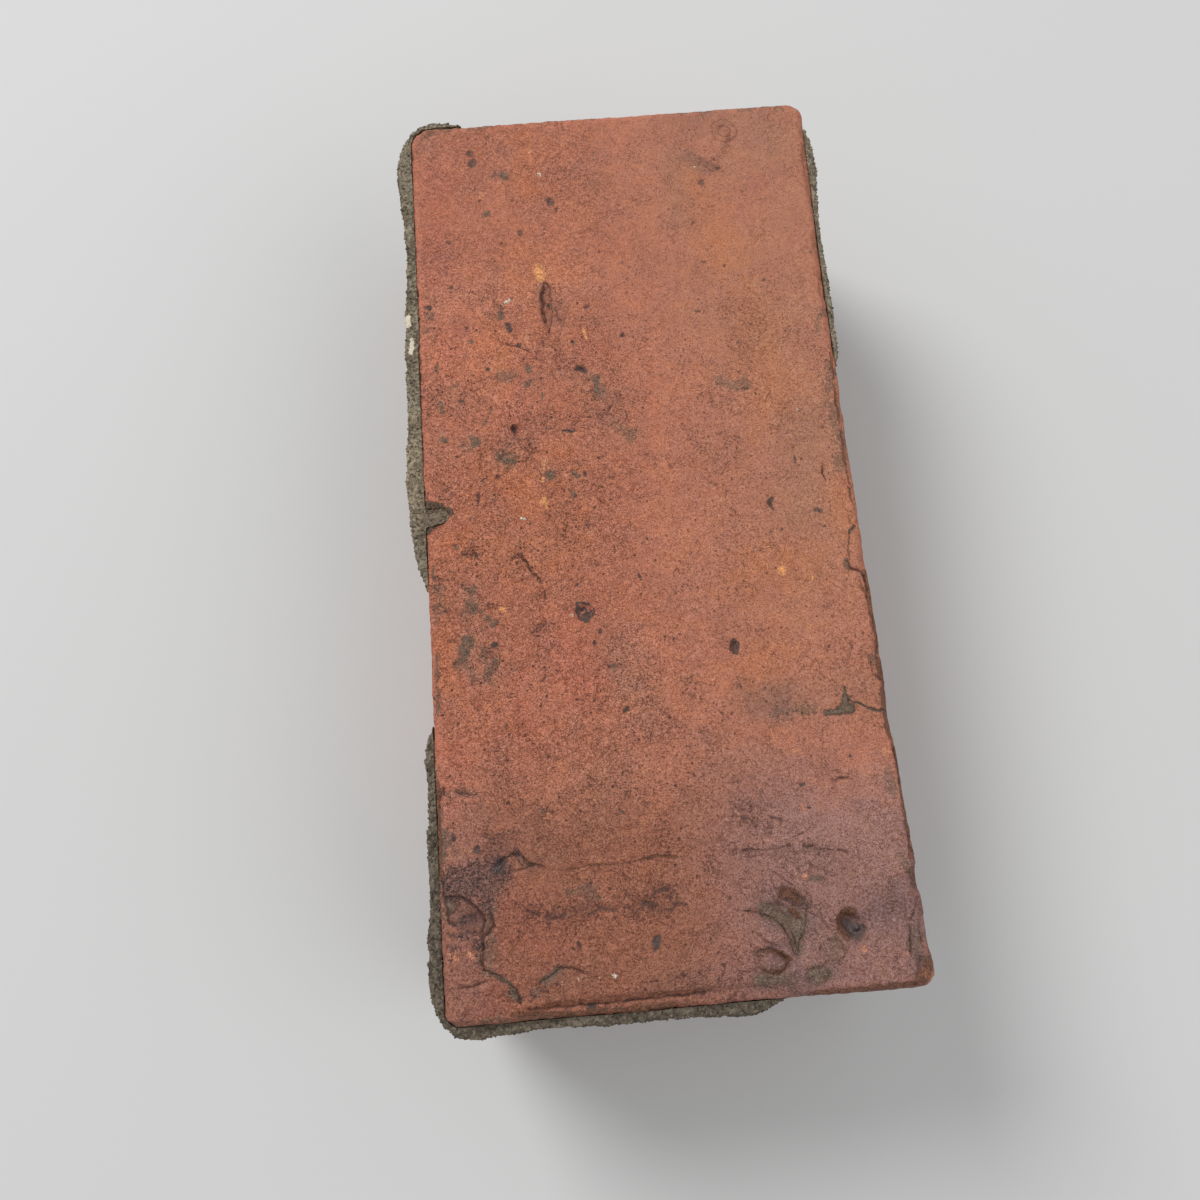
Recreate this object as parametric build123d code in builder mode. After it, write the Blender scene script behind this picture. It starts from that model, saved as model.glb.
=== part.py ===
from build123d import *
import os
from collections import namedtuple
from math import cos, radians, sin, sqrt

# A reclaimed solid clay brick: one piece of fired clay, with crusts of old mortar still on its sides.
# +X runs across the width, +Y along the length to the far end, +Z up. The origin is the centre of the
# lower bed. All sizes are in millimetres.

# Fired body: its plan narrows towards the far end, and its right side sags in at the middle
length = 228.0
width = 108.2
far_taper = 2.0
height = 65.0
right_hollow = 1.4
far_skew = 1.4
near_left_corner = 3.0
near_right_corner = 2.6
far_left_corner = 5.5
far_right_corner = 4.0
arris = 1.5

# Chips along the right arris of the upper bed: each is the bite of a ball, as long and as deep as stated,
# with its place measured from the middle of the brick or from its near end
Chip = namedtuple("Chip", "y length depth lean")
middle_chips = (
    Chip(y=26.0, length=8.0, depth=1.3, lean=40),
    Chip(y=-14.0, length=13.0, depth=1.2, lean=40),
    Chip(y=-38.5, length=5.5, depth=1.4, lean=35),
    Chip(y=-52.5, length=16.0, depth=1.8, lean=30),
)
near_chips = (
    Chip(y=23.0, length=8.0, depth=1.9, lean=30),
    Chip(y=11.5, length=17.0, depth=1.4, lean=55),
)
corner_chip_radius = 11.0
corner_chip_depth = 1.9

# Pits in the upper bed: each is an oval hollow, its long axis at the stated turn about +Z
Pit = namedtuple("Pit", "x y length width depth turn")
pit_floor_share = 0.5
middle_pits = (
    Pit(x=-20.0, y=58.5, length=14.0, width=2.6, depth=1.2, turn=88),
    Pit(x=-12.7, y=39.7, length=2.6, width=1.6, depth=0.9, turn=20),
    Pit(x=-30.3, y=24.5, length=1.9, width=1.9, depth=1.6, turn=0),
    Pit(x=31.0, y=0.3, length=3.0, width=1.6, depth=0.8, turn=70),
    Pit(x=-16.7, y=-23.6, length=4.2, width=3.8, depth=1.0, turn=10),
    Pit(x=18.1, y=-34.7, length=3.8, width=2.0, depth=1.1, turn=85),
)

# Pits beside the near right corner, placed by their distances from the right side and the near end
corner_pits = (
    Pit(x=29.9, y=21.4, length=5.5, width=4.0, depth=1.0, turn=-30),
    Pit(x=17.2, y=14.6, length=7.2, width=5.2, depth=2.4, turn=-40),
)

# Lap where the clot of clay folded over: a pocket beside a curved lip, near the same corner
lap_depth = 0.8
lap_width = 9.5
lap_length = 9.6
lap_tip = 2.2
lap_bow = 1.9
lap_from_right = 28.3
lap_from_near = 10.0

# Ledge where the near arris of the upper bed has flaked away
ledge_from_left = 15.1
ledge_length = 63.5
ledge_width = 3.4
ledge_drop = 1.1

# Mortar crusts. A skin station is a share of the way along the crust and how proud it stands there. A foot
# station is a share and how high above the lower bed the broken lower edge is there. Every crust is cut
# against the brick, from a blank that is rooted this deep inside it.
root_depth = 8.0

# Near crust: along the left side from the near end, and round the corner along the near end
near_crust_reach = 68.0
near_crust_wrap = 77.0
near_crust_drop = 1.9
near_crust_proud = 2.5
near_crust_skin = ((0.93, 1.7), (0.79, 2.4), (0.56, 2.6), (0.32, 2.8))
near_crust_foot = ((0.97, 48), (0.87, 35), (0.73, 31), (0.6, 21), (0.43, 25), (0.22, 16), (0, 19))
near_crust_end_foot = ((0.04, 19), (0.18, 15), (0.34, 25), (0.49, 29), (0.65, 22), (0.79, 31), (0.91, 44))

# Left crust: from the far end to a bare stretch beside the near crust, and round the far left corner
bare_stretch = 29.0
left_crust_drop = 0.5
left_crust_wrap = 17.0
left_crust_wrap_proud = 1.7
left_crust_corner_proud = 2.3
left_crust_skin = ((0.19, 2.8), (0.41, 2.9), (0.64, 3.5), (0.81, 4.0), (0.89, 3.3), (0.95, 1.6))
left_crust_foot = (
    (0.09, 24),
    (0.19, 28),
    (0.3, 19),
    (0.45, 17),
    (0.57, 25),
    (0.69, 23),
    (0.78, 34),
    (0.93, 31),
)
left_crust_foot_far = 20.0

# Chip in the left arris that the left crust fills, placed from that crust's near end
filled_chip_inset = 20.0
filled_chip_reach = 7.0
filled_chip_length = 6.2
filled_chip_depth = 2.0

# Right crust: from near the far end to a place measured from the middle of the brick
right_crust_far_gap = 6.0
right_crust_end = 33.5
right_crust_drop = 0.9
right_crust_far_proud = 2.4
right_crust_skin = ((0.27, 2.1), (0.56, 1.9), (0.8, 1.9), (0.91, 1.4))
right_crust_foot = ((0.13, 32), (0.29, 24), (0.48, 26), (0.64, 20), (0.79, 34), (0.91, 39))

# Corners of the plan
near_end = -length / 2
near_left = (-width / 2, near_end)
near_right = (width / 2, near_end)
far_left = ((far_taper - width) / 2, (length - far_skew) / 2)
far_right = ((width - far_taper) / 2, (length + far_skew) / 2)
far_edge = far_left[1]

# Ends of the crusts
near_crust_start = near_end + near_crust_reach
near_crust_right = near_left[0] + near_crust_wrap
left_crust_end = near_crust_start + bare_stretch
right_crust_far = length / 2 - right_crust_far_gap


def left_side(y):
    share = (y - near_end) / length
    return (far_taper * share - width) / 2


def right_side(y):
    share = (y - near_end) / length
    return (width - far_taper * share) / 2 - 4 * right_hollow * share * (1 - share)


def place_along(start, end, stations):
    """Turn each station's share of the way from start to end into the coordinate it stands for."""
    return [(start + (end - start) * share, value) for share, value in stations]


def bite_chip(y, size, depth, lean):
    """Cut a chip out of the right arris, its ball leaning out from the side by the given angle."""
    ball_radius = (size**2 / 4 + depth**2) / (2 * depth)
    reach = ball_radius - depth
    outward = reach * cos(radians(lean))
    upward = reach * sin(radians(lean))
    with Locations((right_side(y) + outward, y, height + upward)):
        Sphere(ball_radius, mode=Mode.SUBTRACT)


def sink_pit(x, y, size, across, depth, turn):
    """Cut an oval hollow into the upper bed, its walls sloping down to a smaller oval floor."""
    with BuildSketch(Plane.XY.offset(height)) as mouth:
        with Locations((x, y)):
            Ellipse(size / 2, across / 2, rotation=turn)
    with BuildSketch(Plane.XY.offset(height - depth)) as floor:
        with Locations((x, y)):
            Ellipse(size / 2 * pit_floor_share, across / 2 * pit_floor_share, rotation=turn)
    loft([mouth.sketch, floor.sketch], ruled=True, mode=Mode.SUBTRACT)


# Brick
with BuildPart() as brick:
    with BuildSketch() as plan:
        with BuildLine():
            Line(near_left, near_right)
            ThreePointArc(near_right, (right_side(0), 0), far_right)
            Line(far_right, far_left)
            Line(far_left, near_left)
        make_face()
        corner_radii = (
            (near_left, near_left_corner),
            (near_right, near_right_corner),
            (far_left, far_left_corner),
            (far_right, far_right_corner),
        )
        for corner, radius in corner_radii:
            fillet(plan.vertices().sort_by_distance(corner)[0], radius)
    extrude(amount=height)
    fillet(brick.faces().sort_by(Axis.Z)[-1].edges(), arris)
    fillet(brick.faces().sort_by(Axis.Z)[0].edges(), arris)

    for chip in middle_chips:
        bite_chip(chip.y, chip.length, chip.depth, chip.lean)
    for chip in near_chips:
        bite_chip(near_end + chip.y, chip.length, chip.depth, chip.lean)
    corner_reach = (corner_chip_radius - corner_chip_depth) / sqrt(3)
    with Locations((near_right[0] + corner_reach, near_end - corner_reach, height + corner_reach)):
        Sphere(corner_chip_radius, mode=Mode.SUBTRACT)

    for pit in middle_pits:
        sink_pit(pit.x, pit.y, pit.length, pit.width, pit.depth, pit.turn)
    for pit in corner_pits:
        sink_pit(near_right[0] - pit.x, near_end + pit.y, pit.length, pit.width, pit.depth, pit.turn)
    filled_chip_y = left_crust_end + filled_chip_inset
    sink_pit(
        left_side(filled_chip_y),
        filled_chip_y,
        2 * filled_chip_reach,
        filled_chip_length,
        filled_chip_depth,
        turn=0,
    )

    lap_right = near_right[0] - lap_from_right
    lap_near = near_end + lap_from_near
    lip_start = (lap_right - lap_width, lap_near + lap_length)
    lip_end = (lap_right - lap_tip, lap_near)
    lip_middle = (
        (lip_start[0] + lip_end[0]) / 2 + lap_bow,
        (lip_start[1] + lip_end[1]) / 2 + lap_bow,
    )
    with BuildSketch(Plane.XY.offset(height)):
        with BuildLine():
            ThreePointArc(lip_start, lip_middle, lip_end)
            Polyline(
                lip_end,
                (lap_right, lap_near),
                (lap_right, lap_near + lap_length * 0.7),
                (lap_right - lap_width * 0.4, lap_near + lap_length * 1.1),
                lip_start,
            )
        make_face()
    extrude(amount=-lap_depth, mode=Mode.SUBTRACT)

    ledge_left = near_left[0] + ledge_from_left
    with BuildSketch(Plane.XY.offset(height)):
        with BuildLine():
            flaked = Spline(
                (ledge_left, near_end),
                (ledge_left + ledge_length * 0.08, near_end + ledge_width * 0.65),
                (ledge_left + ledge_length * 0.5, near_end + ledge_width),
                (ledge_left + ledge_length * 0.86, near_end + ledge_width * 0.85),
                (ledge_left + ledge_length, near_end),
            )
            Polyline(
                flaked @ 1,
                (ledge_left + ledge_length, near_end - ledge_width),
                (ledge_left, near_end - ledge_width),
                flaked @ 0,
            )
        make_face()
    extrude(amount=-ledge_drop, mode=Mode.SUBTRACT)

brick.part.label = "brick"

# Crust on the far part of the left side and round the far left corner
left_skin_places = place_along(far_edge, left_crust_end, left_crust_skin)
left_foot_places = place_along(far_edge, left_crust_end, left_crust_foot)
with BuildPart() as mortar_left_far:
    with BuildSketch():
        with BuildLine():
            skin = Spline(
                (far_left[0] + left_crust_wrap, far_edge - root_depth / 4),
                (far_left[0] + left_crust_wrap * 0.6, far_edge + left_crust_wrap_proud),
                (far_left[0] + left_crust_wrap * 0.25, far_edge + left_crust_wrap_proud),
                (far_left[0] - left_crust_corner_proud, far_edge - far_left_corner),
                *[(left_side(y) - proud, y) for y, proud in left_skin_places],
                (left_side(left_crust_end) + root_depth / 8, left_crust_end),
            )
            Polyline(
                skin @ 1,
                (left_side(left_crust_end) + root_depth, left_crust_end),
                (far_left[0] + root_depth, far_edge - root_depth),
                (far_left[0] + left_crust_wrap, far_edge - root_depth),
                skin @ 0,
            )
        make_face()
    extrude(amount=height - left_crust_drop)
    with BuildSketch(Plane.YZ.offset(-width)):
        with BuildLine():
            Polyline(
                (left_crust_end, height),
                (length, height),
                (length, left_crust_foot_far),
                (far_edge, left_crust_foot_far),
                *left_foot_places,
                (left_crust_end, height),
            )
        make_face()
    extrude(amount=width, mode=Mode.INTERSECT)
    add(brick.part, mode=Mode.SUBTRACT)

mortar_left_far.part.label = "mortar_left_far"

# Crust on the near part of the left side, round the near left corner and along the near end
near_skin_places = place_along(near_end, near_crust_start, near_crust_skin)
near_foot_places = place_along(near_end, near_crust_start, near_crust_foot)
near_end_foot_places = place_along(near_left[0], near_crust_right, near_crust_end_foot)
with BuildPart() as mortar_near_corner:
    with BuildSketch():
        with BuildLine():
            skin = Spline(
                (left_side(near_crust_start) + root_depth / 8, near_crust_start),
                *[(left_side(y) - proud, y) for y, proud in near_skin_places],
                (near_left[0] - near_crust_proud * 0.7, near_end + near_left_corner),
                (near_left[0] + near_left_corner, near_end - near_crust_proud * 0.9),
                (near_left[0] + near_crust_wrap * 0.18, near_end - near_crust_proud),
                (near_left[0] + near_crust_wrap * 0.45, near_end - near_crust_proud),
                (near_left[0] + near_crust_wrap * 0.7, near_end - near_crust_proud),
                (near_left[0] + near_crust_wrap * 0.9, near_end - near_crust_proud * 0.9),
                (near_crust_right, near_end + root_depth / 8),
            )
            Polyline(
                skin @ 1,
                (near_crust_right, near_end + root_depth),
                (near_left[0] + root_depth, near_end + root_depth),
                (left_side(near_crust_start) + root_depth, near_crust_start),
                skin @ 0,
            )
        make_face()
    extrude(amount=height - near_crust_drop)
    with BuildSketch(Plane.YZ.offset(-width)):
        with BuildLine():
            Polyline(
                (near_end - width, height),
                (near_crust_start, height),
                *near_foot_places,
                (near_end - width, near_crust_foot[-1][1]),
                (near_end - width, height),
            )
        make_face()
    extrude(amount=2 * width, mode=Mode.INTERSECT)
    with BuildSketch(Plane.XZ.offset(-near_end - length)):
        with BuildLine():
            Polyline(
                (-width, height),
                (-width, near_crust_end_foot[0][1]),
                *near_end_foot_places,
                (near_crust_right, height),
                (-width, height),
            )
        make_face()
    extrude(amount=2 * length, mode=Mode.INTERSECT)
    add(brick.part, mode=Mode.SUBTRACT)

mortar_near_corner.part.label = "mortar_near_corner"

# Thinner crust on the far part of the right side
right_skin_places = place_along(right_crust_far, right_crust_end, right_crust_skin)
right_foot_places = place_along(right_crust_far, right_crust_end, right_crust_foot)
with BuildPart() as mortar_right_far:
    with BuildSketch():
        with BuildLine():
            skin = Spline(
                (right_side(right_crust_far) - root_depth / 8, right_crust_far),
                (right_side(right_crust_far) + right_crust_far_proud, right_crust_far - right_crust_far_gap),
                *[(right_side(y) + proud, y) for y, proud in right_skin_places],
                (right_side(right_crust_end) - root_depth / 8, right_crust_end),
            )
            Polyline(
                skin @ 1,
                (right_side(right_crust_end) - root_depth, right_crust_end),
                (right_side(right_crust_far) - root_depth, right_crust_far),
                skin @ 0,
            )
        make_face()
    extrude(amount=height - right_crust_drop)
    with BuildSketch(Plane.YZ):
        with BuildLine():
            Polyline(
                (right_crust_end, height),
                (right_crust_far, height),
                *right_foot_places,
                (right_crust_end, height),
            )
        make_face()
    extrude(amount=width, mode=Mode.INTERSECT)
    add(brick.part, mode=Mode.SUBTRACT)

mortar_right_far.part.label = "mortar_right_far"

os.makedirs("parts", exist_ok=True)
export_step(brick.part, "parts/brick.step")
export_step(mortar_left_far.part, "parts/mortar_left_far.step")
export_step(mortar_near_corner.part, "parts/mortar_near_corner.step")
export_step(mortar_right_far.part, "parts/mortar_right_far.step")
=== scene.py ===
from itertools import product

import bmesh
import bpy
import numpy as np
from mathutils import Matrix, Vector


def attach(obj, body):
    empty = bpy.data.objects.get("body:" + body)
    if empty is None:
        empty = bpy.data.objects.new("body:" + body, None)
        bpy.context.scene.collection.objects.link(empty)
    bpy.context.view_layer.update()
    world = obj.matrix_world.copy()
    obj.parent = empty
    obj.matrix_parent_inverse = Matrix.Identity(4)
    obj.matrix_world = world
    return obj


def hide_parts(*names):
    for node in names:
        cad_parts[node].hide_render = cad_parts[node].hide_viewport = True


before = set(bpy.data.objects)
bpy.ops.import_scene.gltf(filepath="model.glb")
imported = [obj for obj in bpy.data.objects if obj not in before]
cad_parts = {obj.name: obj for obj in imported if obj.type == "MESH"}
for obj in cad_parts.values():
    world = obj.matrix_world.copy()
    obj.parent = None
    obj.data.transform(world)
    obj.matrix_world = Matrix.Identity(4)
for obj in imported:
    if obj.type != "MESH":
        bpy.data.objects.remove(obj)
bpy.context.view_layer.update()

# The brick's sizes and places are in millimetres, and become metres where a mesh is written.
# The camera, the lamps and the floor are in metres.
MM = 0.001
HEIGHT = 65
NEAR_END = -114
LENGTH = 228

# The outline of the upper bed: both long sides lean in towards the far end, the right one is hollow in
# its middle, and the far end runs a little askew
HALF_WIDTH = 54.1
LEAN = 1
HOLLOW_DEPTH = 1.4
FAR_END = 113.9
FAR_SLOPE = 0.013

# The length of a face of the clay and of the mortar, and the triangles that the clay keeps in the end
CLAY_FACE = 0.7
MORTAR_FACE = 0.5
CLAY_TRIANGLES = 195000

# The sand in the crusts: grains on a square millimetre, and their radius
GRAIN_NUMBER = 1.1
GRAIN_RADIUS = 0.32

# The share of its thickness that the right crust loses
RIGHT_CRUST_THINNING = 0.3

# The marks on the upper bed are listed from a point this far from the middle of the bed
SURVEY_POINT = np.array((0.3, -0.5))

# How far the colour of the marks runs down over the arrises
MARK_REACH = 6

# Each mark is its half width and the path it follows, from one point on. First the dark and grey ones
CINDERS = (
    (1.3, (-41, -80.8), (-40.3, -79.6)), (0.3, (-20.3, 59.8), (-19.9, 58.4)), (0.22, (-16.2, 59)),
    (0.4, (-10.4, 57.2), (-9.9, 57.5)), (1.5, (35.9, -99.3), (37.8, -100.9)), (0.6, (38.2, -99.9), (39.3, -100)),
    (0.8, (17.8, -33), (17.8, -35.2)), (0.45, (-17.6, -22.2), (-16.6, -22.4)), (0.4, (-17.4, -23.8), (-16, -23.7)),
    (0.35, (-43.1, 33.4)), (0.3, (-39.4, 34.9)), (0.3, (-44, 21.4)), (0.25, (-44.2, 25.4)), (0.3, (-39.2, 12)),
    (0.5, (41.4, -1.6), (42.6, -2.4)), (0.9, (-37.6, 104.8)), (1, (-37.3, 102.3), (-37.1, 101.4)),
    (0.5, (-35.8, 90)), (0.4, (-27.2, 89.6)), (0.9, (-17.4, 89.4), (-17, 88.3)), (0.5, (-14.6, 95.5)),
    (0.8, (-25.8, 79.8)), (0.6, (-44.8, 78.3)), (0.4, (-31.1, 77.4)), (0.4, (-5.5, 73.1)), (0.4, (-15.7, 86)),
    (0.5, (-44.4, 65.3)), (0.6, (-51.1, 60), (-50.2, 59.9)), (0.8, (-30.4, 53.6), (-30.5, 52.4)),
    (0.4, (-39.4, 63.4)), (0.4, (-10.2, 57.5)), (0.4, (-27, 43.7)), (0.5, (-28.2, 47.7)),
    (0.9, (-13.6, 40.6), (-12.3, 39.8)), (0.4, (-36.5, 41.7)), (0.6, (-1.7, 48.8)), (0.45, (0.8, 48.2)),
    (0.75, (-30.7, 25)), (0.35, (-31.3, 23.5)), (0.3, (-14.8, 47.8)),
    (0.3, (-18.8, 23.8), (-17.4, 23.5), (-16.8, 23), (-16, 23.6)), (0.3, (-39.5, 11.8), (-38.7, 12.4)),
    (0.7, (-14.2, 12)), (0.3, (-19.8, 8.6), (-19.7, 7.8)), (0.25, (-43.9, 23.2)), (0.3, (-43.9, 21.6)),
    (0.4, (-51.9, 30.6)), (0.6, (-39.3, -29.6), (-38.2, -29.4)), (0.45, (-15.1, -31.1)),
    (0.3, (-3, -14.9), (-2.9, -15.7)), (0.3, (-41.9, -6.5), (-41.7, -7.2)), (0.5, (-13.8, -28)),
    (0.5, (-9.6, -47.4), (-9, -47)), (0.4, (-18.8, -48.1)), (0.35, (-12.3, -70.1), (-11.9, -70.7)),
    (0.3, (-43.7, -73.5)), (0.3, (-41.4, -72.8)), (0.7, (-45.6, -76.1)), (0.6, (-50.6, -73.2)),
    (0.25, (-13.2, -82.7)), (0.7, (-6.9, -98.4), (-7.2, -100.6)), (0.6, (-23, -111.6), (-22, -111.6)),
    (0.35, (-28.2, -102.9)), (0.6, (27.1, 98.8)), (0.35, (29.3, 98.8)), (0.45, (28.5, 96.1), (27.9, 95.8)),
    (0.4, (26.5, 95.2)), (0.8, (23.2, 91.9)), (0.5, (19.8, 79.8)), (0.35, (33.5, 88.3)), (0.4, (21.2, 68.2)),
    (0.45, (26.6, 66.6)), (0.3, (30.6, 68.2)), (0.3, (23.5, 64.5)), (0.3, (20.7, 62.6)), (0.45, (36.6, 61.7)),
    (0.3, (18.6, 57.4)), (0.3, (18, 54.1), (18.9, 54.2)), (0.3, (23.4, 72.6)), (0.3, (27.4, 31.9), (28.4, 31.8)),
    (0.25, (25.2, 32.6)), (0.22, (24, 33.4)), (0.25, (26.4, 33.6)), (0.2, (22.8, 32.4)), (0.3, (30.6, 30)),
    (0.6, (31, 1.8), (30.2, 0.9)), (0.45, (30.4, 0.4), (30.9, -0.9)), (0.4, (32.5, -6.4)), (0.3, (43, -6)),
    (0.3, (46.6, -2.7)), (0.3, (45.9, 7.5)), (0.25, (46.9, 14)), (0.35, (21.8, -24.6)), (0.3, (31.3, -18)),
    (0.4, (17.2, -33.2), (16.9, -34.6), (17.5, -35.7)), (0.4, (18.8, -33.2), (18.6, -35), (17.9, -35.9)),
    (0.3, (18.2, -43.8)), (0.4, (41.5, -61.9)), (0.3, (30.5, -73.1)), (0.3, (29.2, -67.8), (29.8, -67.6)),
    (0.3, (50, -18)),
)
STONE_OUTLINE = (
    (0.46, (-18.8, -21), (-18.7, -22.4), (-18.5, -24)), (0.5, (-18.2, -24.6), (-16.8, -24.9), (-15.4, -24.5)),
    (0.34, (-14.9, -24), (-14.8, -22.2)), (0.24, (-18.2, -20.9), (-16.8, -20.7), (-15.6, -21.2)),
    (0.26, (-17, -21.8), (-16.6, -23.6)), (0.2, (-15.7, -22.4), (-15.5, -23.4)),
)
ASH = (
    (0.7, (-29.2, 97.8), (-28.7, 96.8)), (0.7, (-34.4, 86.2)), (0.7, (-4.8, 102.3)), (0.6, (0, 69.5)),
    (0.6, (-40.2, 50)), (0.6, (-31.8, 58.6), (-32.5, 55.6)), (0.6, (-26.4, 41.8), (-26.1, 40.9)),
    (0.6, (-26.2, 37.6), (-26.7, 36.5)), (0.4, (-23.2, 34), (-23.5, 32.2)),
    (0.5, (-8.9, 38), (-9.8, 35), (-9.2, 33.4)), (0.6, (-22.8, 24.6)), (0.3, (-24.6, 27), (-22.8, 24.6)),
    (0.45, (-38.1, 26.8)), (0.25, (-38.1, 26.8), (-36.6, 29.5), (-36, 31.4)), (0.8, (-40.8, 22), (-39.8, 22.3)),
    (0.35, (-41.8, 23.6), (-40.6, 22.6)), (0.6, (-48.8, 23.4), (-47.7, 22.5)), (0.5, (-43.8, 33.4)),
    (0.4, (-48.7, 33.4), (-47.9, 30.4)), (0.4, (-49, 44), (-49.3, 42)), (0.4, (-51.1, 46.6), (-50.4, 45.6)),
    (0.5, (-35.2, 18.4), (-33.4, 16.9), (-31.6, 16.1)), (0.5, (-17, 12.6), (-16.3, 11.6)),
    (0.6, (-18, 8), (-17.4, 6.6)), (0.5, (-42.9, 2.1)), (0.6, (-46.6, -4.7)), (0.4, (-42.4, -3.4)),
    (0.4, (-14.6, -1.6)), (0.5, (-48.8, -10.2)), (0.6, (-42.7, -15.2)), (0.5, (-43.9, -16.2)),
    (0.55, (-44.8, -18.8), (-44.5, -19.3)), (0.75, (-43, -20.1), (-42.6, -20.9)), (0.5, (-41.2, -21.2)),
    (0.55, (-40.2, -22.4), (-39.8, -23.2)), (0.7, (-39.3, -24.5), (-38.4, -23.9)),
    (0.8, (-45.6, -27.1), (-44.7, -28)), (0.9, (-46.5, -29.4), (-46.2, -30.7)), (0.5, (-46.8, -32.5)),
    (0.5, (-44, -29)), (0.3, (-39.3, -31.6), (-39.2, -34), (-39.9, -36.4)), (0.25, (-38.6, -32.6), (-38.4, -35.2)),
    (0.3, (-31.3, -30.1)), (0.4, (-34.3, -35.6)), (0.4, (-13.8, -41.9)), (0.6, (-30.3, -69)),
    (0.4, (-48.5, 31.8), (-48.4, 30.6)), (0.5, (-47.8, 22.9)), (0.9, (-22.9, 12.5), (-22.6, 11.5)),
    (0.5, (-43.1, 2.3)), (0.7, (-39.6, -107), (-38.5, -108.2)), (0.4, (-14.6, 47.5)),
    (0.3, (-37.3, -48.3), (-37.1, -49.6)), (0.4, (-11.6, -36.4), (-10.8, -37.6)), (0.4, (-6.4, -18.8)),
    (0.4, (-18.6, -14.9)), (0.35, (-52.2, -9), (-52.4, -12)), (0.35, (-52.2, -18.4), (-52.3, -23.6)),
    (0.3, (-52.5, -30), (-52.7, -45)), (0.4, (-52.8, -72), (-53, -78.5)), (0.9, (-51.8, -87.4), (-51.7, -88.6)),
    (0.5, (-44, -102.6), (-42, -103.6), (-40, -105.3), (-38.2, -107.2), (-37.9, -108.8)),
    (0.5, (-32.8, -105.4), (-30.6, -104.2)), (0.6, (-30, -103.8), (-29.2, -103.4)),
    (0.4, (50.3, -6.6), (49.3, -7.9)), (0.6, (47.1, -14.8), (47.2, -17)), (0.4, (27.6, 44.8)),
    (1.4, (26.8, -109.2), (29, -108.6)), (1.3, (17.6, -94.3), (21, -95.9)), (1.8, (22.4, -96.8), (24.2, -98.8)),
    (1.2, (24.2, -100.6), (23.8, -102.8)), (0.8, (24.8, -95), (26.2, -97.2)), (0.9, (14.6, -109), (19.6, -109.6)),
    (0.8, (29.6, -88.2), (31.2, -88.9)), (0.4, (51, -86.8)), (0.5, (49.6, 69.2)), (0.3, (38, 12.6), (37.7, 11)),
    (0.4, (32.6, 5.6)),
)
MORTAR_FILMS = (
    (1.7, (-54, 6.2), (-51.4, 5)), (1.3, (-53.6, 0.8), (-51, 2.6)), (0.8, (-49.8, 5.6), (-47.6, 4.2)),
    (0.7, (37.2, -51.6), (40, -51.3)), (1.1, (40.6, -51.1), (43, -51)), (0.8, (41.7, -49.7), (42.3, -48.4)),
    (0.35, (42.3, -48), (42.4, -46)), (0.28, (43.4, -49.1), (45.5, -50), (46.6, -50.9)),
    (0.35, (47.2, -51.4), (49.2, -51.9), (50.8, -51.9)),
)
HAZE_AND_SHADE = (
    (1.2, (-32.6, 97.9), (-29.2, 97.6)), (1.1, (-34.4, 86.2)), (1.4, (-50, 57.2)), (1.1, (-51.2, 53.4)),
    (1.5, (-33, 40), (-30.6, 38.4)), (1.5, (-10, 36.4), (-8.4, 33)), (1.6, (-5.4, 23.4), (-1.6, 21.8)),
    (1.7, (-34.4, 18), (-31.8, 16.2)), (1.6, (-22.8, 11.8)), (1.4, (-43, 21), (-40, 22.4)),
    (1.6, (-43.6, -16.4), (-44, -20.6)), (1.5, (-44.2, -28), (-45.4, -31), (-46.6, -34.4)),
    (1, (-41.6, -31), (-40.8, -34), (-40.2, -38)), (0.9, (-44.4, -35), (-43.8, -38.6)),
    (1.6, (-51.4, -14), (-50.6, -19)), (1.1, (-52, -72), (-50.6, -76.4)), (1.6, (-50, -63), (-46.6, -63.6)),
    (1.8, (-24, -86.4), (-20.6, -87.4)), (1.5, (-43, -90.4), (-42.9, -94.6), (-44, -98.6), (-44.4, -102.2)),
    (1, (-32, -105), (-28.6, -103.4)), (1.5, (49.4, 52), (49, 46.8)), (1.5, (49.6, 37.6), (49.2, 31)),
    (1.8, (49.4, 27.6), (49.6, 21), (49.8, 14), (49.4, 8.6)), (1.8, (23, 33.6), (28, 33)),
    (1.3, (25, -50.5), (30, -50.5), (34, -50.2)), (1.9, (32.2, -103.9), (32.6, -104.6)),
    (1.1, (-45.6, 38), (-44.8, 37.8)), (1, (-50, 111.4), (-44, 113.2), (-30, 113.5)),
    (0.7, (-20, 113.9), (-2, 114.2)), (1, (16, 114.6), (34, 114.9)), (1.3, (36, 114.8), (47, 114.3)),
    (1.7, (50.9, -98.6), (50.6, -107)), (1.2, (50.2, -39.4), (50.6, -43.6)), (1.5, (49.8, -66), (50.2, -70.4)),
    # The marks from (19.6, -95.4) to (23.9, -103) are painted shade, grey-brown, in the shallow pocket there
    (1.2, (49.8, -85), (50.6, -87.6)), (2.2, (19.6, -95.4), (23.4, -97), (24.8, -99.4)),
    (1.4, (24.2, -100.6), (23.9, -103)), (1.7, (27.6, -109.2), (28.8, -108.8)), (2, (17, -109), (22, -109.6)),
    (0.8, (-52, -113), (-30, -113), (-4, -112.9)), (0.8, (-54, -58), (-53.4, -76), (-53, -90)),
)
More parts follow.
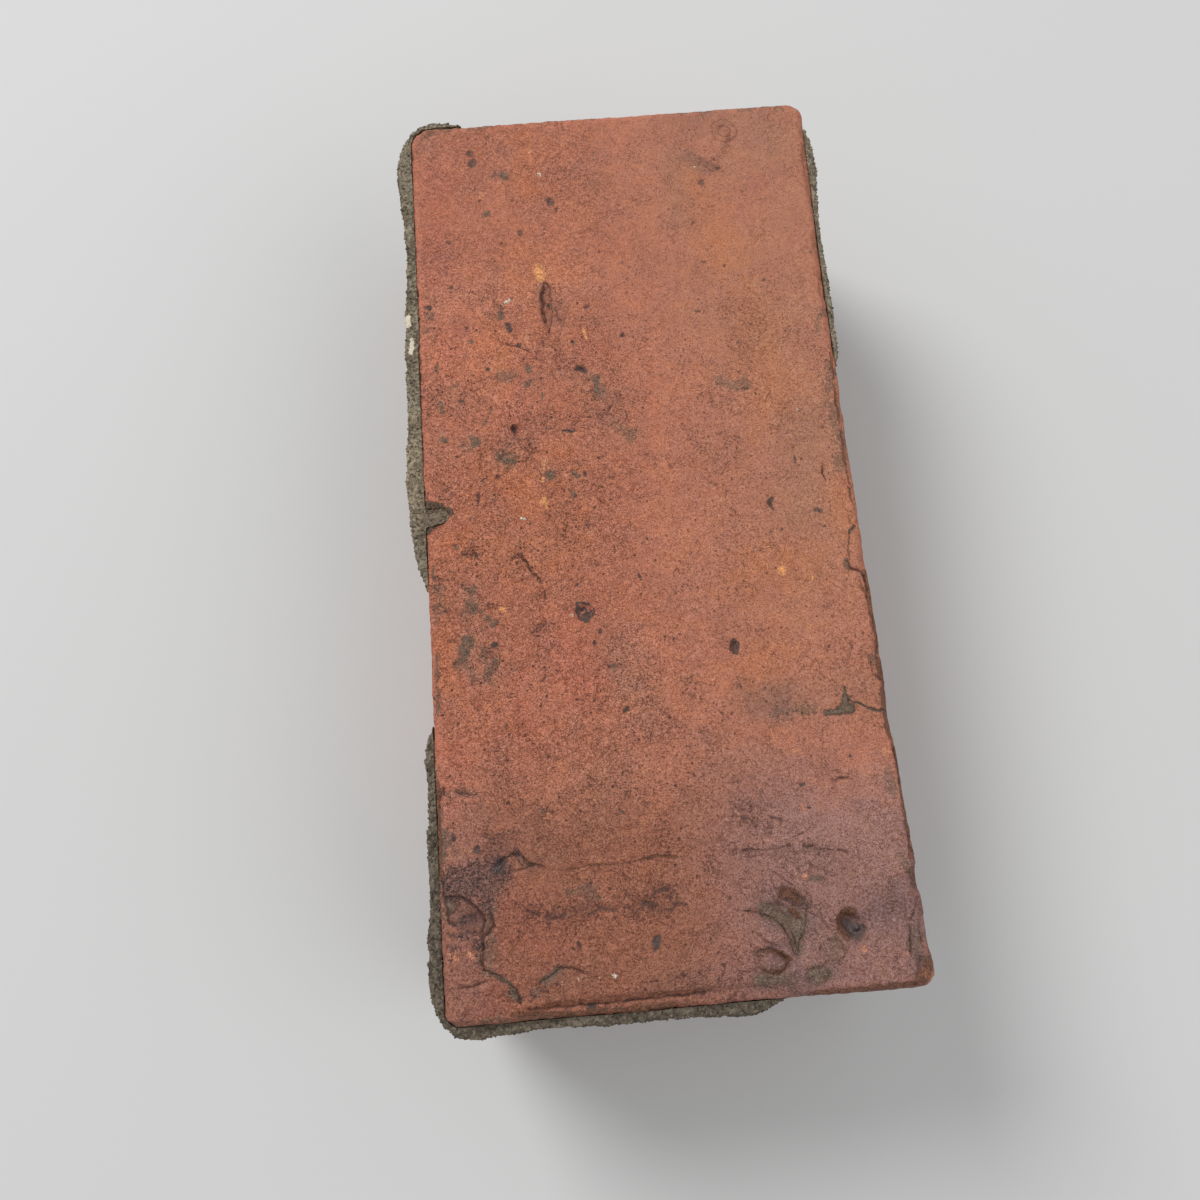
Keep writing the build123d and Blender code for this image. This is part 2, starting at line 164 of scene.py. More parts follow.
SMOKE_AND_SHADE = (
    (0.9, (-33.4, 63.6), (-33, 56)), (1.6, (-28.2, 21.6), (-27.6, 17.4)), (1.2, (-44.6, -6.8), (-41.6, -7.4)),
    (1.6, (-29, -26), (-25.4, -25.6)), (1.4, (-39, -30.6), (-39.6, -36)), (1.4, (-43, -74.4), (-36, -74)),
    (1.6, (-50.4, -61.6), (-47, -64)), (2.6, (-36, -90.6), (-30, -91.6), (-20, -91.2)),
    # On the next line, the mark from (14.6, -72.4) to (20, -77) is partly a painted cast shadow, as if from a tape
    # lying along the bed, partly dark rough clay
    (3, (-13, -91.6), (-2, -91.4)), (2.6, (-6.6, -88.4), (-1.4, -88.8)), (2, (14.6, -72.4), (20, -77)),
    (1.4, (14, -81.4), (24, -81.8)), (1.6, (24, -82.2), (37, -83)), (1.6, (23, -84), (30, -85.6)),
    (1.4, (20, -102.6), (15, -104)), (1.6, (16, -109.4), (24, -110.6)), (2.6, (-12, -109.6), (2, -109)),
    (1.8, (23.4, 98.4), (28.4, 95.8)), (1.4, (31, 104), (30.4, 101)),
    (0.9, (-34, -112.4), (-4, -112), (10, -112.6)), (0.7, (24, -113), (50, -112.8)),
    # The next line darkens the right arris: partly painted shade where it turns from the light, partly brown stain
    (0.8, (53, -28), (52.8, -60), (53.2, -88)),
)
SCORCH = (
    (3, (-50.4, -83.2), (-45, -82.8), (-41.4, -81.4)), (1.1, (-43.6, -86), (-43.8, -89)),
    (0.7, (-51.4, -91.6), (-47, -90.8)), (0.5, (-52, -94.6), (-46.4, -94.2)), (0.7, (-52.8, -96.4), (-52.6, -99)),
    (0.8, (-46, -96.8), (-46.4, -100)), (0.9, (-36.6, -78), (-34.4, -79.6)), (0.5, (-34.4, -108), (-33, -106.8)),
    (0.5, (-52.8, -64.6), (-52.2, -62.4)), (0.8, (24.4, -92.6), (27.4, -94.4)),
)

# Broad tints that fade out over the clay: more orange, redder, greyer, paler and bluer
EMBER = (
    (3.5, (-23, 108), (-22, 92)), (4.5, (-28, 72), (-22, 66)), (4.5, (-35, 51), (-33, 43)),
    (7, (-36, 11), (-26, 6)), (6, (-22, 14), (-20, -4)), (6, (-44, -4), (-30, -8)), (3, (-51.6, -8), (-50, -40)),
    (6, (22, 90), (26, 70)), (6, (32, 56), (34, 28)), (6, (22, -18), (34, -14)), (5, (26, -36), (24, -40)),
    (3, (48, 3), (49, -6)),
)
ROSY = (
    (4.5, (-47, 96), (-49, 70)), (4, (-43, 53), (-47, 45)), (3.5, (-27, 44), (-31, 26)),
    (6, (-22, -28), (-20, -40)), (5, (-30, -99), (-37, -92)), (4, (38, 90), (32, 82)),
    (3, (-46, -108.6), (-42, -108)), (3.5, (-50, -66), (-50, -54)), (2.4, (-33, -38), (-33, -50)),
)
DULL = (
    (5, (38, 110), (44, 101)), (3, (-52, 106), (-47, 111)), (6, (42, 20), (38, -2)),
    (5, (22, -47), (34, -48), (46, -47)), (6, (-14, -58), (-18, -70)), (4, (-30, 42), (-26, 38)),
    (4, (-12, 36), (-4, 22)), (3.5, (-30, 24), (-35, 16)), (5, (-10, -34), (-6, -48)), (3, (-44, -18), (-42, -24)),
    (3, (-45, -30), (-41, -36)), (3.5, (-32, -72), (-28, -79)), (4, (-22, -106), (-30, -106.6)),
    (6, (-6, -107), (2, -108)), (3, (16, 80), (16, 100)),
)
PALE = (
    (7, (-48, 62), (-16, 65)), (6, (-50, 46), (-32, 47)), (4, (-34, 33), (-30, 32)), (5, (-51, -64), (-51, -78)),
    (6, (-24, -64), (-6, -64)), (4, (-9, -50), (-5, -32)), (6, (24, -80), (46, -76)), (5, (46, -68), (46, -84)),
)
BRUISE = (
    (6, (18, 116), (26, 115)), (2, (20, 100), (24, 96)), (1.8, (-20.6, 64), (-20.6, 54)),
    (1.4, (-17.4, 59), (-17.2, 54)), (4, (-51, -84), (-42, -81.6)), (2, (-43, -85), (-43.8, -92)),
    (1.8, (-50.6, -89.6), (-48, -93)), (4.5, (20, -95), (25, -99)), (3, (37, -99)),
    (2.2, (50.4, -98), (50.6, -109)), (3, (24, -110), (29, -108.6)), (4, (16, -109), (20, -106)),
    (2, (-34, -80), (-40, -77)), (4, (20, -48), (27, -48)), (4.5, (44, -97), (48, -95)),
)

# Small spots: dark scratches, yellow grains, reddish lumps, specks of lime, and brown worn places, some of them
# painted shade
UMBER = (
    (0.3, (-20.6, 65.2), (-21.1, 63), (-21.2, 60.4), (-21.3, 57.6), (-20.9, 55.2), (-20.6, 52.8), (-20.2, 50.8)),
    (0.22, (-20.2, 65.2), (-19.3, 63), (-19.2, 60.6), (-19.1, 58.4), (-19.4, 55.6), (-19.7, 52.6)),
    (0.3, (-18.4, 57.6), (-17.8, 55.8), (-17.2, 54)), (0.4, (-17.6, 54), (-16.8, 54.1)),
    (0.25, (-45, -7.2), (-43.8, -6.6), (-43, -7.3)), (0.25, (-42.6, -6.4), (-41.6, -7.6)),
    (0.2, (-31.6, -7.6), (-30, -10), (-28.8, -12.2)), (0.35, (-22.6, -10.8)), (0.35, (-40.6, 8.8), (-40.8, 5.2)),
    (0.5, (-35.4, 12.6)), (0.4, (-27.8, -38.6)), (0.35, (-38.4, -41.3)), (0.22, (-26.8, -25.2), (-28.2, -26.4)),
    (0.2, (-29.4, -27.6)), (0.35, (-37.6, -56.8)), (0.35, (-49.6, -63.4), (-47.2, -63.4)),
    (0.3, (-34.6, -90.6), (-34, -91)), (0.3, (-31, -91.9), (-29.6, -91.6)), (0.35, (-27.4, -92.4), (-26.8, -91.2)),
    (0.4, (-19.4, -91), (-17, -91.8)), (0.35, (-12.8, -91.6), (-11.4, -92.2)), (0.5, (-9.8, -90.6), (-6.4, -91.4)),
    (0.4, (-6, -88.6), (-3.2, -87.6)), (0.4, (-2.6, -91.4), (0.4, -91.8)), (0.35, (-17, -91.8), (-15, -91.2)),
    (0.3, (-21.6, -92.2), (-20, -91.8)), (0.3, (-34.4, -90.6), (-32.6, -91.4)), (0.3, (-30, -92.4), (-27.4, -92)),
    (0.3, (-25.6, -90.4), (-24.2, -91.2)), (0.4, (-9.4, -91), (-7.4, -92)), (0.35, (-4.6, -92.4), (-3, -92.6)),
    (0.4, (-6.4, -89), (-5.4, -88.2)), (0.35, (-3.4, -89.6), (-2.4, -88.8)),
    (0.22, (14, -81.2), (20, -81.4), (25, -81)), (0.25, (28, -81), (31, -82), (34, -82.6)),
    (0.4, (36, -82.9), (38, -83.4)), (0.35, (15, -73.6), (17, -75.2)), (0.35, (21.6, -74.6), (24, -74.9)),
    (0.25, (22, 33.4), (23.4, 33.2)), (0.2, (26.6, 36.6), (28.2, 35.4)), (0.25, (46.6, -33.4), (47, -34.2)),
    (0.2, (48.6, -34.6)), (0.2, (25, -49.6), (26, -49.9)), (0.2, (27.6, -48.6)), (0.2, (28.8, -50.3)),
    (0.2, (31.4, -49.2)), (0.2, (23.4, -48.2)), (0.35, (37.4, -67.6), (38.6, -66.8), (40.2, -67)),
    (0.3, (-8.4, -7.4), (-8.5, -9.2)), (0.3, (-17.4, -15), (-18.4, -16.6)), (0.4, (-6.9, 28.2), (-6.4, 29.2)),
    (0.35, (-33.4, -106.8), (-31.8, -107.8)), (0.35, (-24.2, -98), (-23.6, -99.4)),
    (0.22, (52.2, -94.2), (50.9, -96.6), (49.8, -100.2), (48.9, -103.4), (49.1, -106.6)),
    (0.2, (51.2, -101.6), (51.9, -104.8), (51.6, -107)), (0.5, (50.2, -107.6), (49.4, -111)),
    (0.5, (18, -103.4), (21.4, -105.6), (20, -107.6)), (0.2, (44.7, 9.2), (44.3, 7.6), (44.7, 6.6)),
    (0.25, (43.4, 3.6)), (0.2, (42.6, 1.4)), (0.2, (43, 0.2)),
)
OCHRE = (
    (1.15, (-21.9, 69.6), (-21.5, 66.8)), (0.3, (-21.6, 70.6)), (0.75, (-24.8, 5.8), (-24.7, 4.8)),
    (0.4, (-24.1, 3.8)), (0.3, (-24.6, 11.6), (-24.8, 10.6)), (0.4, (-11.6, 51), (-11, 49)),
    (0.5, (-36.9, -20.9), (-36.3, -21.4)), (0.75, (31.1, -15.9), (31.3, -16.7)), (0.6, (37.9, -18.7)),
    (0.25, (29.8, -27)),
)
BLUSH = (
    (0.6, (-22.1, 64.4), (-22, 63.2)), (0.8, (-21.8, 104.9)), (0.7, (-35.4, 92.2), (-35.6, 91)),
    (0.6, (-26, 51.6), (-26.3, 48.6)), (0.9, (-24.2, 16.4), (-23.6, 15.2)), (0.7, (-22, 14.2)),
    (0.5, (-18.8, 11.8)), (0.6, (-51, 17.4), (-50.2, 17.2)), (0.4, (29, -72.2), (29.1, -72.9)),
    (0.7, (-52.4, -97.8), (-51.2, -99.6)), (0.5, (-48.6, -98), (-47.4, -99)), (0.5, (-30.3, 30.6), (-30.6, 32.4)),
    (0.6, (-21.4, 42.4), (-20.8, 42.9)), (0.5, (28.8, -60), (30.2, -60.4)), (0.5, (-24.4, 15.6), (-24.6, 13.2)),
    (0.5, (27.6, -88.2)), (0.7, (50.2, -61.4), (49.2, -60.8)), (0.9, (51.5, -110.8), (52.2, -111.5)),
    (0.5, (38.4, -104.1), (39, -104.5)), (0.35, (48, -106)), (0.6, (52.8, -112.2), (53.4, -108.6)),
)
LIME = (
    (0.42, (-19.9, 97.5), (-19.3, 96.7)), (0.42, (-30.5, 60.1), (-30, 60.6)), (0.35, (-30.2, 1.2), (-29.6, 1.1)),
    (0.2, (21.7, 96.7)), (0.2, (22, 92.4)), (0.22, (31.4, 97)), (0.2, (-3.4, 17.3)), (0.25, (-20.2, -23.7)),
    (0.3, (-24.9, -105.6)), (0.26, (-24, -105.3)), (0.3, (-17.3, -105.4), (-16.4, -105.7)), (0.26, (-20.2, -105.5)),
    (0.26, (-28.5, -105.7)), (0.26, (-18.2, -88.8)), (0.22, (-17.5, -88.4)), (0.2, (-52.9, 70.3)),
    (0.18, (-44, 96.3)), (0.18, (36.5, -43.3)), (0.2, (45.9, -99)), (0.18, (-29, -93.6)), (0.2, (-15, -3.6)),
    (0.2, (-27.6, 7.1)), (0.18, (-9.3, 78)), (0.2, (33, -97.5)), (0.16, (5.5, 56.2)),
    (0.16, (40.3, 25.4), (40.1, 23.2)), (0.14, (43.4, 21.8)), (0.14, (-22, -55.4), (-21.6, -56.6)),
)
RUST_AND_SHADE = (
    # The paths along the right arris, x about 51 to 52.4 from y -18 to -92, are partly painted shade where the arris
    # turns from the light, partly brown stain
    (0.6, (51.3, -18), (51.5, -24), (51.3, -30), (51.7, -38)), (0.35, (49.6, -21.4), (50.6, -24.6)),
    (0.8, (51.3, -40), (51.7, -47), (51.4, -58)), (0.45, (52, -60), (52.3, -74), (52.3, -86)),
    (0.3, (50.6, 40), (50.3, 20), (50.4, 0)), (0.35, (-54, 108), (-53.6, 84), (-53.6, 40)),
    (0.9, (52, -88.6), (52.4, -92)), (1.3, (22.4, -91), (24.2, -91.8), (25.6, -93)),
    (0.6, (26, -112.8), (38, -112.9), (50, -112.6)), (1.5, (50.4, -111.2), (52.4, -109)),
    # The next arc, round the upper left rim of the pit near (36, -99), is painted shade on the pit's wall, in a rusty
    # brown
    (0.7, (37.4, -96.2), (35.4, -96.3), (33.9, -98.1), (33.9, -100.2), (35.2, -102)),
    (0.5, (-40, -111.6), (-24, -112.9), (-4, -112.6)), (0.4, (-53.5, -60), (-53.6, -70), (-53.8, -82)),
    (0.35, (-8.6, -81.2), (-5, -80.8), (-2.6, -81.2)), (0.5, (17, -103), (19.6, -103.8), (21.8, -105.4)),
    (0.45, (16, -107), (19, -107.8), (21.4, -106.6)), (0.8, (24, -94.6), (24.6, -96)),
)

# Marks on the crusts, which show above this height: lime, and dust of the clay in the filled chip
CRUST_TOP = 58
CRUST_LIME = ((0.9, (-56.3, 58), (-55.8, 55.6)), (0.6, (-55, 51.4), (-55.6, 48)))
CRUST_DUST = ((3.2, (-51, 5), (-48, 3)),)

# Cracks, creases and folds: half width, depth, and how far the clay on the left of the path stands up
CREASES = (
    (0.35, 0.35, 0.2, (-34, 50), (-31.5, 48.3), (-29, 47.7), (-25.5, 46)),
    (0.25, 0.2, 0.1, (-24.6, 43.6), (-22, 43), (-20.3, 41.5), (-20, 38.6)),
    (0.25, 0.25, 0, (-31, 16.5), (-28.5, 16), (-27.3, 18), (-28.5, 20)),
    (0.25, 0.2, 0, (-39.6, 14.4), (-39.4, 18.6)), (0.3, 0.3, 0.15, (-31, -5.6), (-31.8, -8), (-33.6, -8.8)),
    (0.4, 0.45, 0.25, (-31.2, -7.8), (-30, -10), (-29, -12), (-27, -14), (-26.6, -15.5), (-26, -18.6)),
    (0.35, 0.3, 0.1, (-40, -19.6), (-38.6, -19.2), (-37.6, -20.2), (-36.9, -22)),
    (0.25, 0.2, 0, (-29.8, -27.6), (-27.6, -25.4), (-24.6, -25.2)),
    (0.25, 0.2, 0, (-37.6, -31), (-37.8, -33.6), (-39, -36)), (0.25, 0.2, 0, (-28.4, -30.2), (-28.8, -32.6)),
    (0.35, 0.4, 0.2, (50.5, -6.5), (49, -8), (48.5, -10), (48, -13), (47.7, -15)),
    (0.45, 0.6, 0.2, (47.4, -15.4), (47.9, -17.2), (49.4, -17.8), (50.4, -18), (51, -20), (51.3, -23)),
    (0.25, 0.25, 0, (51, -20), (50.8, -26), (51.4, -31)),
    (0.35, 0.3, 0, (51.6, -36.6), (50.9, -39.4), (49.4, -40.6)),
    (0.3, 0.3, 0.1, (49.3, -40.5), (49.6, -43.5), (51.3, -44.6)),
    (0.35, 0.35, 0, (43.2, -49), (45.4, -49.8), (47, -51.2), (49, -51.8), (51.4, -52)),
    (0.3, 0.25, 0.1, (-53.6, -67), (-52.6, -62), (-50.6, -65.5)), (0.25, 0.2, 0, (-48, -62.6), (-46.6, -63.6)),
    (0.45, 0.5, 0.35, (-40.4, -79), (-38, -77.8), (-36, -78), (-34.4, -79.4), (-33, -80.4)),
    (0.35, 0.3, 0.15, (-38.4, -81.4), (-35.4, -81.4), (-33, -80.4), (-30, -81.9), (-25, -82.2), (-20, -81.6)),
    (0.25, 0.2, 0.1, (-20, -81.6), (-12, -81.9), (-8, -81.4), (-5, -80.9), (-1, -81.4)),
    (0.4, 0.5, 0.2, (-53.2, -83), (-53.4, -85.6), (-50.4, -86.2), (-48.6, -86.6), (-46.2, -88.6), (-44.4, -91.6)),
    (0.3, 0.4, 0, (-52.9, -86.2), (-52.6, -88.6), (-52.4, -91.8)),
    (0.25, 0.2, 0, (-53, -82.6), (-50.4, -80.8), (-46.8, -79.6)),
    (0.3, 0.25, 0.1, (-44.4, -91.6), (-45.2, -93.6), (-45.3, -95.6)),
    (0.5, 0.6, 0.5, (-43, -90), (-42.4, -93), (-44.8, -95.4), (-45.4, -99), (-45.2, -102)),
    (0.5, 0.55, 0.4, (-45.2, -102), (-42, -103.5), (-40, -105.2), (-38.2, -107), (-37.7, -109.4)),
    (0.4, 0.4, 0.2, (-50.6, -105.2), (-48, -105.2), (-45.4, -104.4)),
    (0.4, 0.4, 0.25, (-33.6, -105.8), (-30.4, -104), (-28.5, -103), (-26, -103), (-23.6, -104.2)),
    (0.3, 0.15, 0, (-42, -107.9), (-40.6, -107.4), (-38.6, -107.8)),
    (0.45, 0.5, 0.3, (-36, -110.8), (-20, -111), (-8, -110.8), (2, -110.6)),
    (0.25, 0.12, 0, (14.6, -81.2), (18, -81.4)), (0.25, 0.12, 0, (21.6, -80.6), (25.4, -81.2)),
    (0.25, 0.12, 0, (30.4, -82.4), (36, -83)), (0.25, 0.25, 0.1, (20.6, -86.2), (22.6, -88.2), (24.6, -89.4)),
    (0.25, 0.25, 0.1, (23, -85.8), (25.6, -88.2)), (0.25, 0.25, 0, (27, -91), (28.4, -92.6), (28, -94.6)),
    (0.25, 0.25, 0, (27.4, -95.6), (29.4, -97)),
    (0.5, 0.6, 0.5, (22.9, -103.2), (22.4, -100.8), (21.4, -98.8), (19.3, -96.3), (16.4, -95), (13.4, -94.4)),
    (0.3, 0.35, 0.2, (24, -103.8), (25, -101), (26.4, -98.4), (27, -95)),
    (0.35, 0.4, 0.3, (15, -103.2), (18, -102.7), (20, -104.2), (21.8, -105.4)),
    (0.35, 0.35, 0.2, (22, -106), (19.6, -107.9), (17, -107.6), (15, -106.6)),
    (0.3, 0.3, 0.15, (15.6, -99.6), (17.4, -101.6), (19.2, -102.2)),
    (0.3, 0.25, 0.1, (25.4, -107.8), (29.6, -107.2), (30.4, -109), (29, -111.2)),
    (0.3, 0.2, 0, (49, -96.6), (49.4, -101), (48.8, -106)), (0.3, 0.3, 0, (52, -61.6), (52.2, -66), (52, -69.4)),
    (0.25, 0.25, 0, (44.6, 9.6), (44.3, 8), (44.8, 6.2)), (0.2, 0.2, 0, (38, 15.4), (37.8, 11.2)),
    (0.4, 0.08, 0.1, (37.2, -68.4), (38.4, -66.8), (40.4, -67.2)),
)

# Round seams where a grain or a lump sits in the clay: the middle and the radius
RINGS = (
    ((32.3, -104.3), 2.2), ((31, 107.4), 3.4), ((31, 107.4), 1.7), ((31.6, -104.6), 2.7), ((-19, -82.5), 0.7),
    ((28, -88), 1.1), ((25, -35.3), 0.5), ((-29, -83.7), 1.1), ((-52, -88.2), 1.5),
)

# Lumps that stand up from the bed, and dips in it: the middle, the radius and the height
SWELLS = (
    ((15.6, -101.4), 7.6, 0.55), ((18.6, -106), 3.2, 0.3), ((21, -93.4), 3, -0.35), ((23.6, -101.4), 1.4, -0.3),
    ((31.4, -104.6), 2.4, 0.25), ((-52, -88.2), 1.3, 0.3), ((28, -88), 0.9, 0.2), ((-16.6, -23.4), 0.9, 0.5),
    ((37.9, -100.2), 1.8, 1.9), ((-48, -108.6), 6, 0.35), ((31, 107.4), 2.6, -0.2), ((-47, -91), 6, -0.35),
    ((24.6, -97.4), 2.4, -0.5), ((-35, -82), 4, 0.2),
)


# ---- Numbers over the surface


def smooth_step(low, high, value):
    """A share that rises smoothly from 0 at low to 1 at high, also where high is the smaller number."""
    share = np.clip((value - low) / (high - low), 0, 1)
    return share * share * (3 - 2 * share)


def random_share(cells, seed):
    """A fixed random number from 0 to 1 for each whole-numbered cell."""
    x, y, z = (cells[..., axis].astype(np.uint32) for axis in range(3))
    bits = x * np.uint32(374761393) + y * np.uint32(668265263) + z * np.uint32(2246822519)
    bits += np.uint32((seed * 3266489917) % 2**32)
    bits = (bits ^ (bits >> np.uint32(15))) * np.uint32(2246822519)
    bits = (bits ^ (bits >> np.uint32(13))) * np.uint32(3266489917)
    return (bits ^ (bits >> np.uint32(16))) / 2.0**32


def ripple(points, size, seed):
    """Smooth noise, about -1 to 1, whose hills are about one size across."""
    scaled = points / size
    base = np.floor(scaled)
    part = scaled - base
    weight = part**3 * (part * (part * 6 - 15) + 10)
    total = np.zeros(len(points))
    for corner in product((0, 1), repeat=3):
        cells = (base + corner).astype(np.int64)
        lean = sum(
            (random_share(cells, seed + 17 * axis) * 2 - 1) * (part[:, axis] - corner[axis]) for axis in range(3)
        )
        share = np.prod([weight[:, a] if corner[a] else 1 - weight[:, a] for a in range(3)], axis=0)
        total += lean * share
    return total * 1.6


def layered_ripple(points, size, seed, layers=3, fade=0.5):
    """Ripples laid over each other, each half the size of the last and weaker."""
    return sum(ripple(points, size * 0.5**layer, seed + layer * 101) * fade**layer for layer in range(layers))


def scattered_hollows(points, spacing, radius_range, chance, seed):
    """0 on the plain surface, up to 1 in the middle of round hollows that are scattered at random."""
    scaled = points / spacing
    base = np.floor(scaled).astype(np.int64)
    deepest = np.zeros(len(points))
    small, large = radius_range
    for corner in product((-1, 0, 1), repeat=3):
        cells = base + corner
        middle = cells + np.stack([random_share(cells, seed + 7 * axis) for axis in range(3)], axis=-1)
        distance = np.linalg.norm(scaled - middle, axis=-1) * spacing
        radius = small + (large - small) * random_share(cells, seed + 31) ** 3
        there = random_share(cells, seed + 43) < chance
        deepest = np.maximum(deepest, np.where(there, 1 - distance / radius, 0))
    return deepest


def to_path(places, path):
    """Each place's distance from a path, and the side that it lies on, which is 1 on the left."""
    nearest = np.full(len(places), 1e9)
    side = np.ones(len(places))
    if len(path) == 1:
        return np.linalg.norm(places - path[0], axis=1), side
    for start, end in zip(path[:-1], path[1:]):
        step = np.linalg.norm(end - start)
        run = (end - start) / step
        away = places - start
        share = np.clip(away @ run, 0, step)
        distance = np.linalg.norm(away - share[:, None] * run, axis=1)
        closer = distance < nearest
        nearest[closer] = distance[closer]
        side[closer] = np.sign(run[0] * away[closer, 1] - run[1] * away[closer, 0])
    return nearest, side


def close_to(places, path, reach):
    """The path from the middle of the bed, and which places lie within the reach of its box."""
    path = np.array(path) + SURVEY_POINT
    inside = (places > path.min(axis=0) - reach) & (places < path.max(axis=0) + reach)
    return path, np.nonzero(inside.all(axis=1))[0]


def shifted(places, amount, size=2.3):
    """The same places, pushed about by up to roughly the amount, so that what is drawn there is ragged."""
    flat = np.column_stack([places, np.zeros(len(places))])
    moved = places.copy()
    for axis in (0, 1):
        moved[:, axis] += amount * (ripple(flat, size, 81 + axis) + 0.6 * ripple(flat, size * 0.37, 91 + axis))
    return moved


def in_marks(places, marks):
    """How far in a mark each place lies: 1 in its middle, a half at its edge, and down to -1 further out."""
    depth = np.full(len(places), -1.0)
    for half_width, *path in marks:
        path, near = close_to(places, path, 4 * half_width)
        distance, _ = to_path(places[near], path)
        depth[near] = np.maximum(depth[near], 1 - distance / (2 * half_width))
    return depth


def to_seams(places):
    """The distance from the nearest crease or ring, negative on its right, its plain size, and how dark the shade
    painted into the seam is.
    """
    seams = [(depth, path, 0) for _, depth, _, *path in CREASES]
    seams += [(0.25, [middle], radius) for middle, radius in RINGS]
    nearest, signed, dark = np.full(len(places), 3.0), np.full(len(places), 3.0), np.zeros(len(places))
    for depth, path, radius in seams:
        path, near = close_to(places, path, radius + 3)
        distance, side = to_path(places[near], path)
        distance = distance * side - radius
        closer = np.abs(distance) < nearest[near]
        chosen = near[closer]
        nearest[chosen] = np.abs(distance[closer])
        signed[chosen] = distance[closer]
        # Deeper creases get darker painted shade
        dark[chosen] = 0.35 if radius else min(1, 0.25 + 1.5 * depth)
    return signed, nearest, dark


# ---- Meshes


def read_points(mesh):
    flat = np.empty(len(mesh.vertices) * 3, np.float32)
    mesh.vertices.foreach_get("co", flat)
    return flat.reshape(-1, 3).astype(float) / MM


def write_points(mesh, points):
    mesh.vertices.foreach_set("co", (points * MM).astype(np.float32).ravel())
    mesh.update()


def read_normals(mesh):
    flat = np.empty(len(mesh.vertices) * 3, np.float32)
    mesh.vertex_normals.foreach_get("vector", flat)
    return flat.reshape(-1, 3).astype(float)


def keep_value(mesh, name, values):
    """Keep a value at each point of a mesh, for its material to read."""
    layer = mesh.attributes.new(name, "FLOAT", "POINT")
    layer.data.foreach_set("value", np.asarray(values, np.float32))


def new_piece(name, mesh):
    piece = bpy.data.objects.new(name, mesh)
    bpy.context.scene.collection.objects.link(piece)
    return piece


def settle(piece):
    """Turn a piece with its modifiers into a plain mesh."""
    graph = bpy.context.evaluated_depsgraph_get()
    mesh = bpy.data.meshes.new_from_object(piece.evaluated_get(graph), preserve_all_data_layers=True, depsgraph=graph)
    piece.modifiers.clear()
    piece.data = mesh


def remeshed_copy(node, name, voxel):
    """A closed, evenly divided copy of a CAD node."""
    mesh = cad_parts[node].data.copy()
    mesh.materials.clear()
    work = bmesh.new()
    work.from_mesh(mesh)
    bmesh.ops.remove_doubles(work, verts=work.verts, dist=1e-6)
    bmesh.ops.recalc_face_normals(work, faces=work.faces)
    work.to_mesh(mesh)
    work.free()
    piece = new_piece(name, mesh)
    remesh = piece.modifiers.new("even", "REMESH")
    remesh.mode = "VOXEL"
    remesh.voxel_size = voxel * MM
    settle(piece)
    return piece


def divide_faces(mesh, keep):
    """Divide each face whose middle passes the test into four."""
    work = bmesh.new()
    work.from_mesh(mesh)
    chosen = [face for face in work.faces if keep(face.calc_center_median())]
    edges = list({edge for face in chosen for edge in face.edges})
    bmesh.ops.subdivide_edges(work, edges=edges, cuts=1, use_grid_fill=True)
    work.to_mesh(mesh)
    work.free()


def thin_out(piece, triangles, protection):
    """Bring a piece down to a number of triangles, and keep more of them where the protection is near 1."""
    group = piece.vertex_groups.new(name="protected")
    steps = 10
    level = np.clip((protection * steps).astype(int), 0, steps)
    for step in range(1, steps + 1):
        members = np.nonzero(level == step)[0].tolist()
        if members:
            group.add(members, step / steps, "REPLACE")
    piece.data.calc_loop_triangles()
    thin = piece.modifiers.new("thin", "DECIMATE")
    thin.ratio = triangles / len(piece.data.loop_triangles)
    thin.use_collapse_triangulate = True
    thin.vertex_group = group.name
    thin.invert_vertex_group = True
    thin.vertex_group_factor = 2.0
    settle(piece)
    piece.vertex_groups.clear()


# ---- Node trees


class Wire:
    """A socket of a node tree. Sums of wires add the Math nodes that work them out."""

    def __init__(self, tree, socket):
        self.tree = tree
        self.socket = socket

    def maths(self, operation, *values):
        return self.tree.add("ShaderNodeMath", {"operation": operation}, dict(enumerate(values)))

    def __add__(self, other):
        return self.maths("ADD", self, other)

    def __radd__(self, other):
        return self.maths("ADD", other, self)

    def __sub__(self, other):
        return self.maths("SUBTRACT", self, other)

    def __rsub__(self, other):
        return self.maths("SUBTRACT", other, self)

    def __mul__(self, other):
        return self.maths("MULTIPLY", self, other)

    def __rmul__(self, other):
        return self.maths("MULTIPLY", other, self)

    def ramp(self, low, high, start=0.0, end=1.0):
        """A smooth change from start to end as the wire goes from low to high."""
        return self.tree.add(
            "ShaderNodeMapRange",
            {"interpolation_type": "SMOOTHSTEP"},
            {"Value": self, "From Min": low, "From Max": high, "To Min": start, "To Max": end},
        )


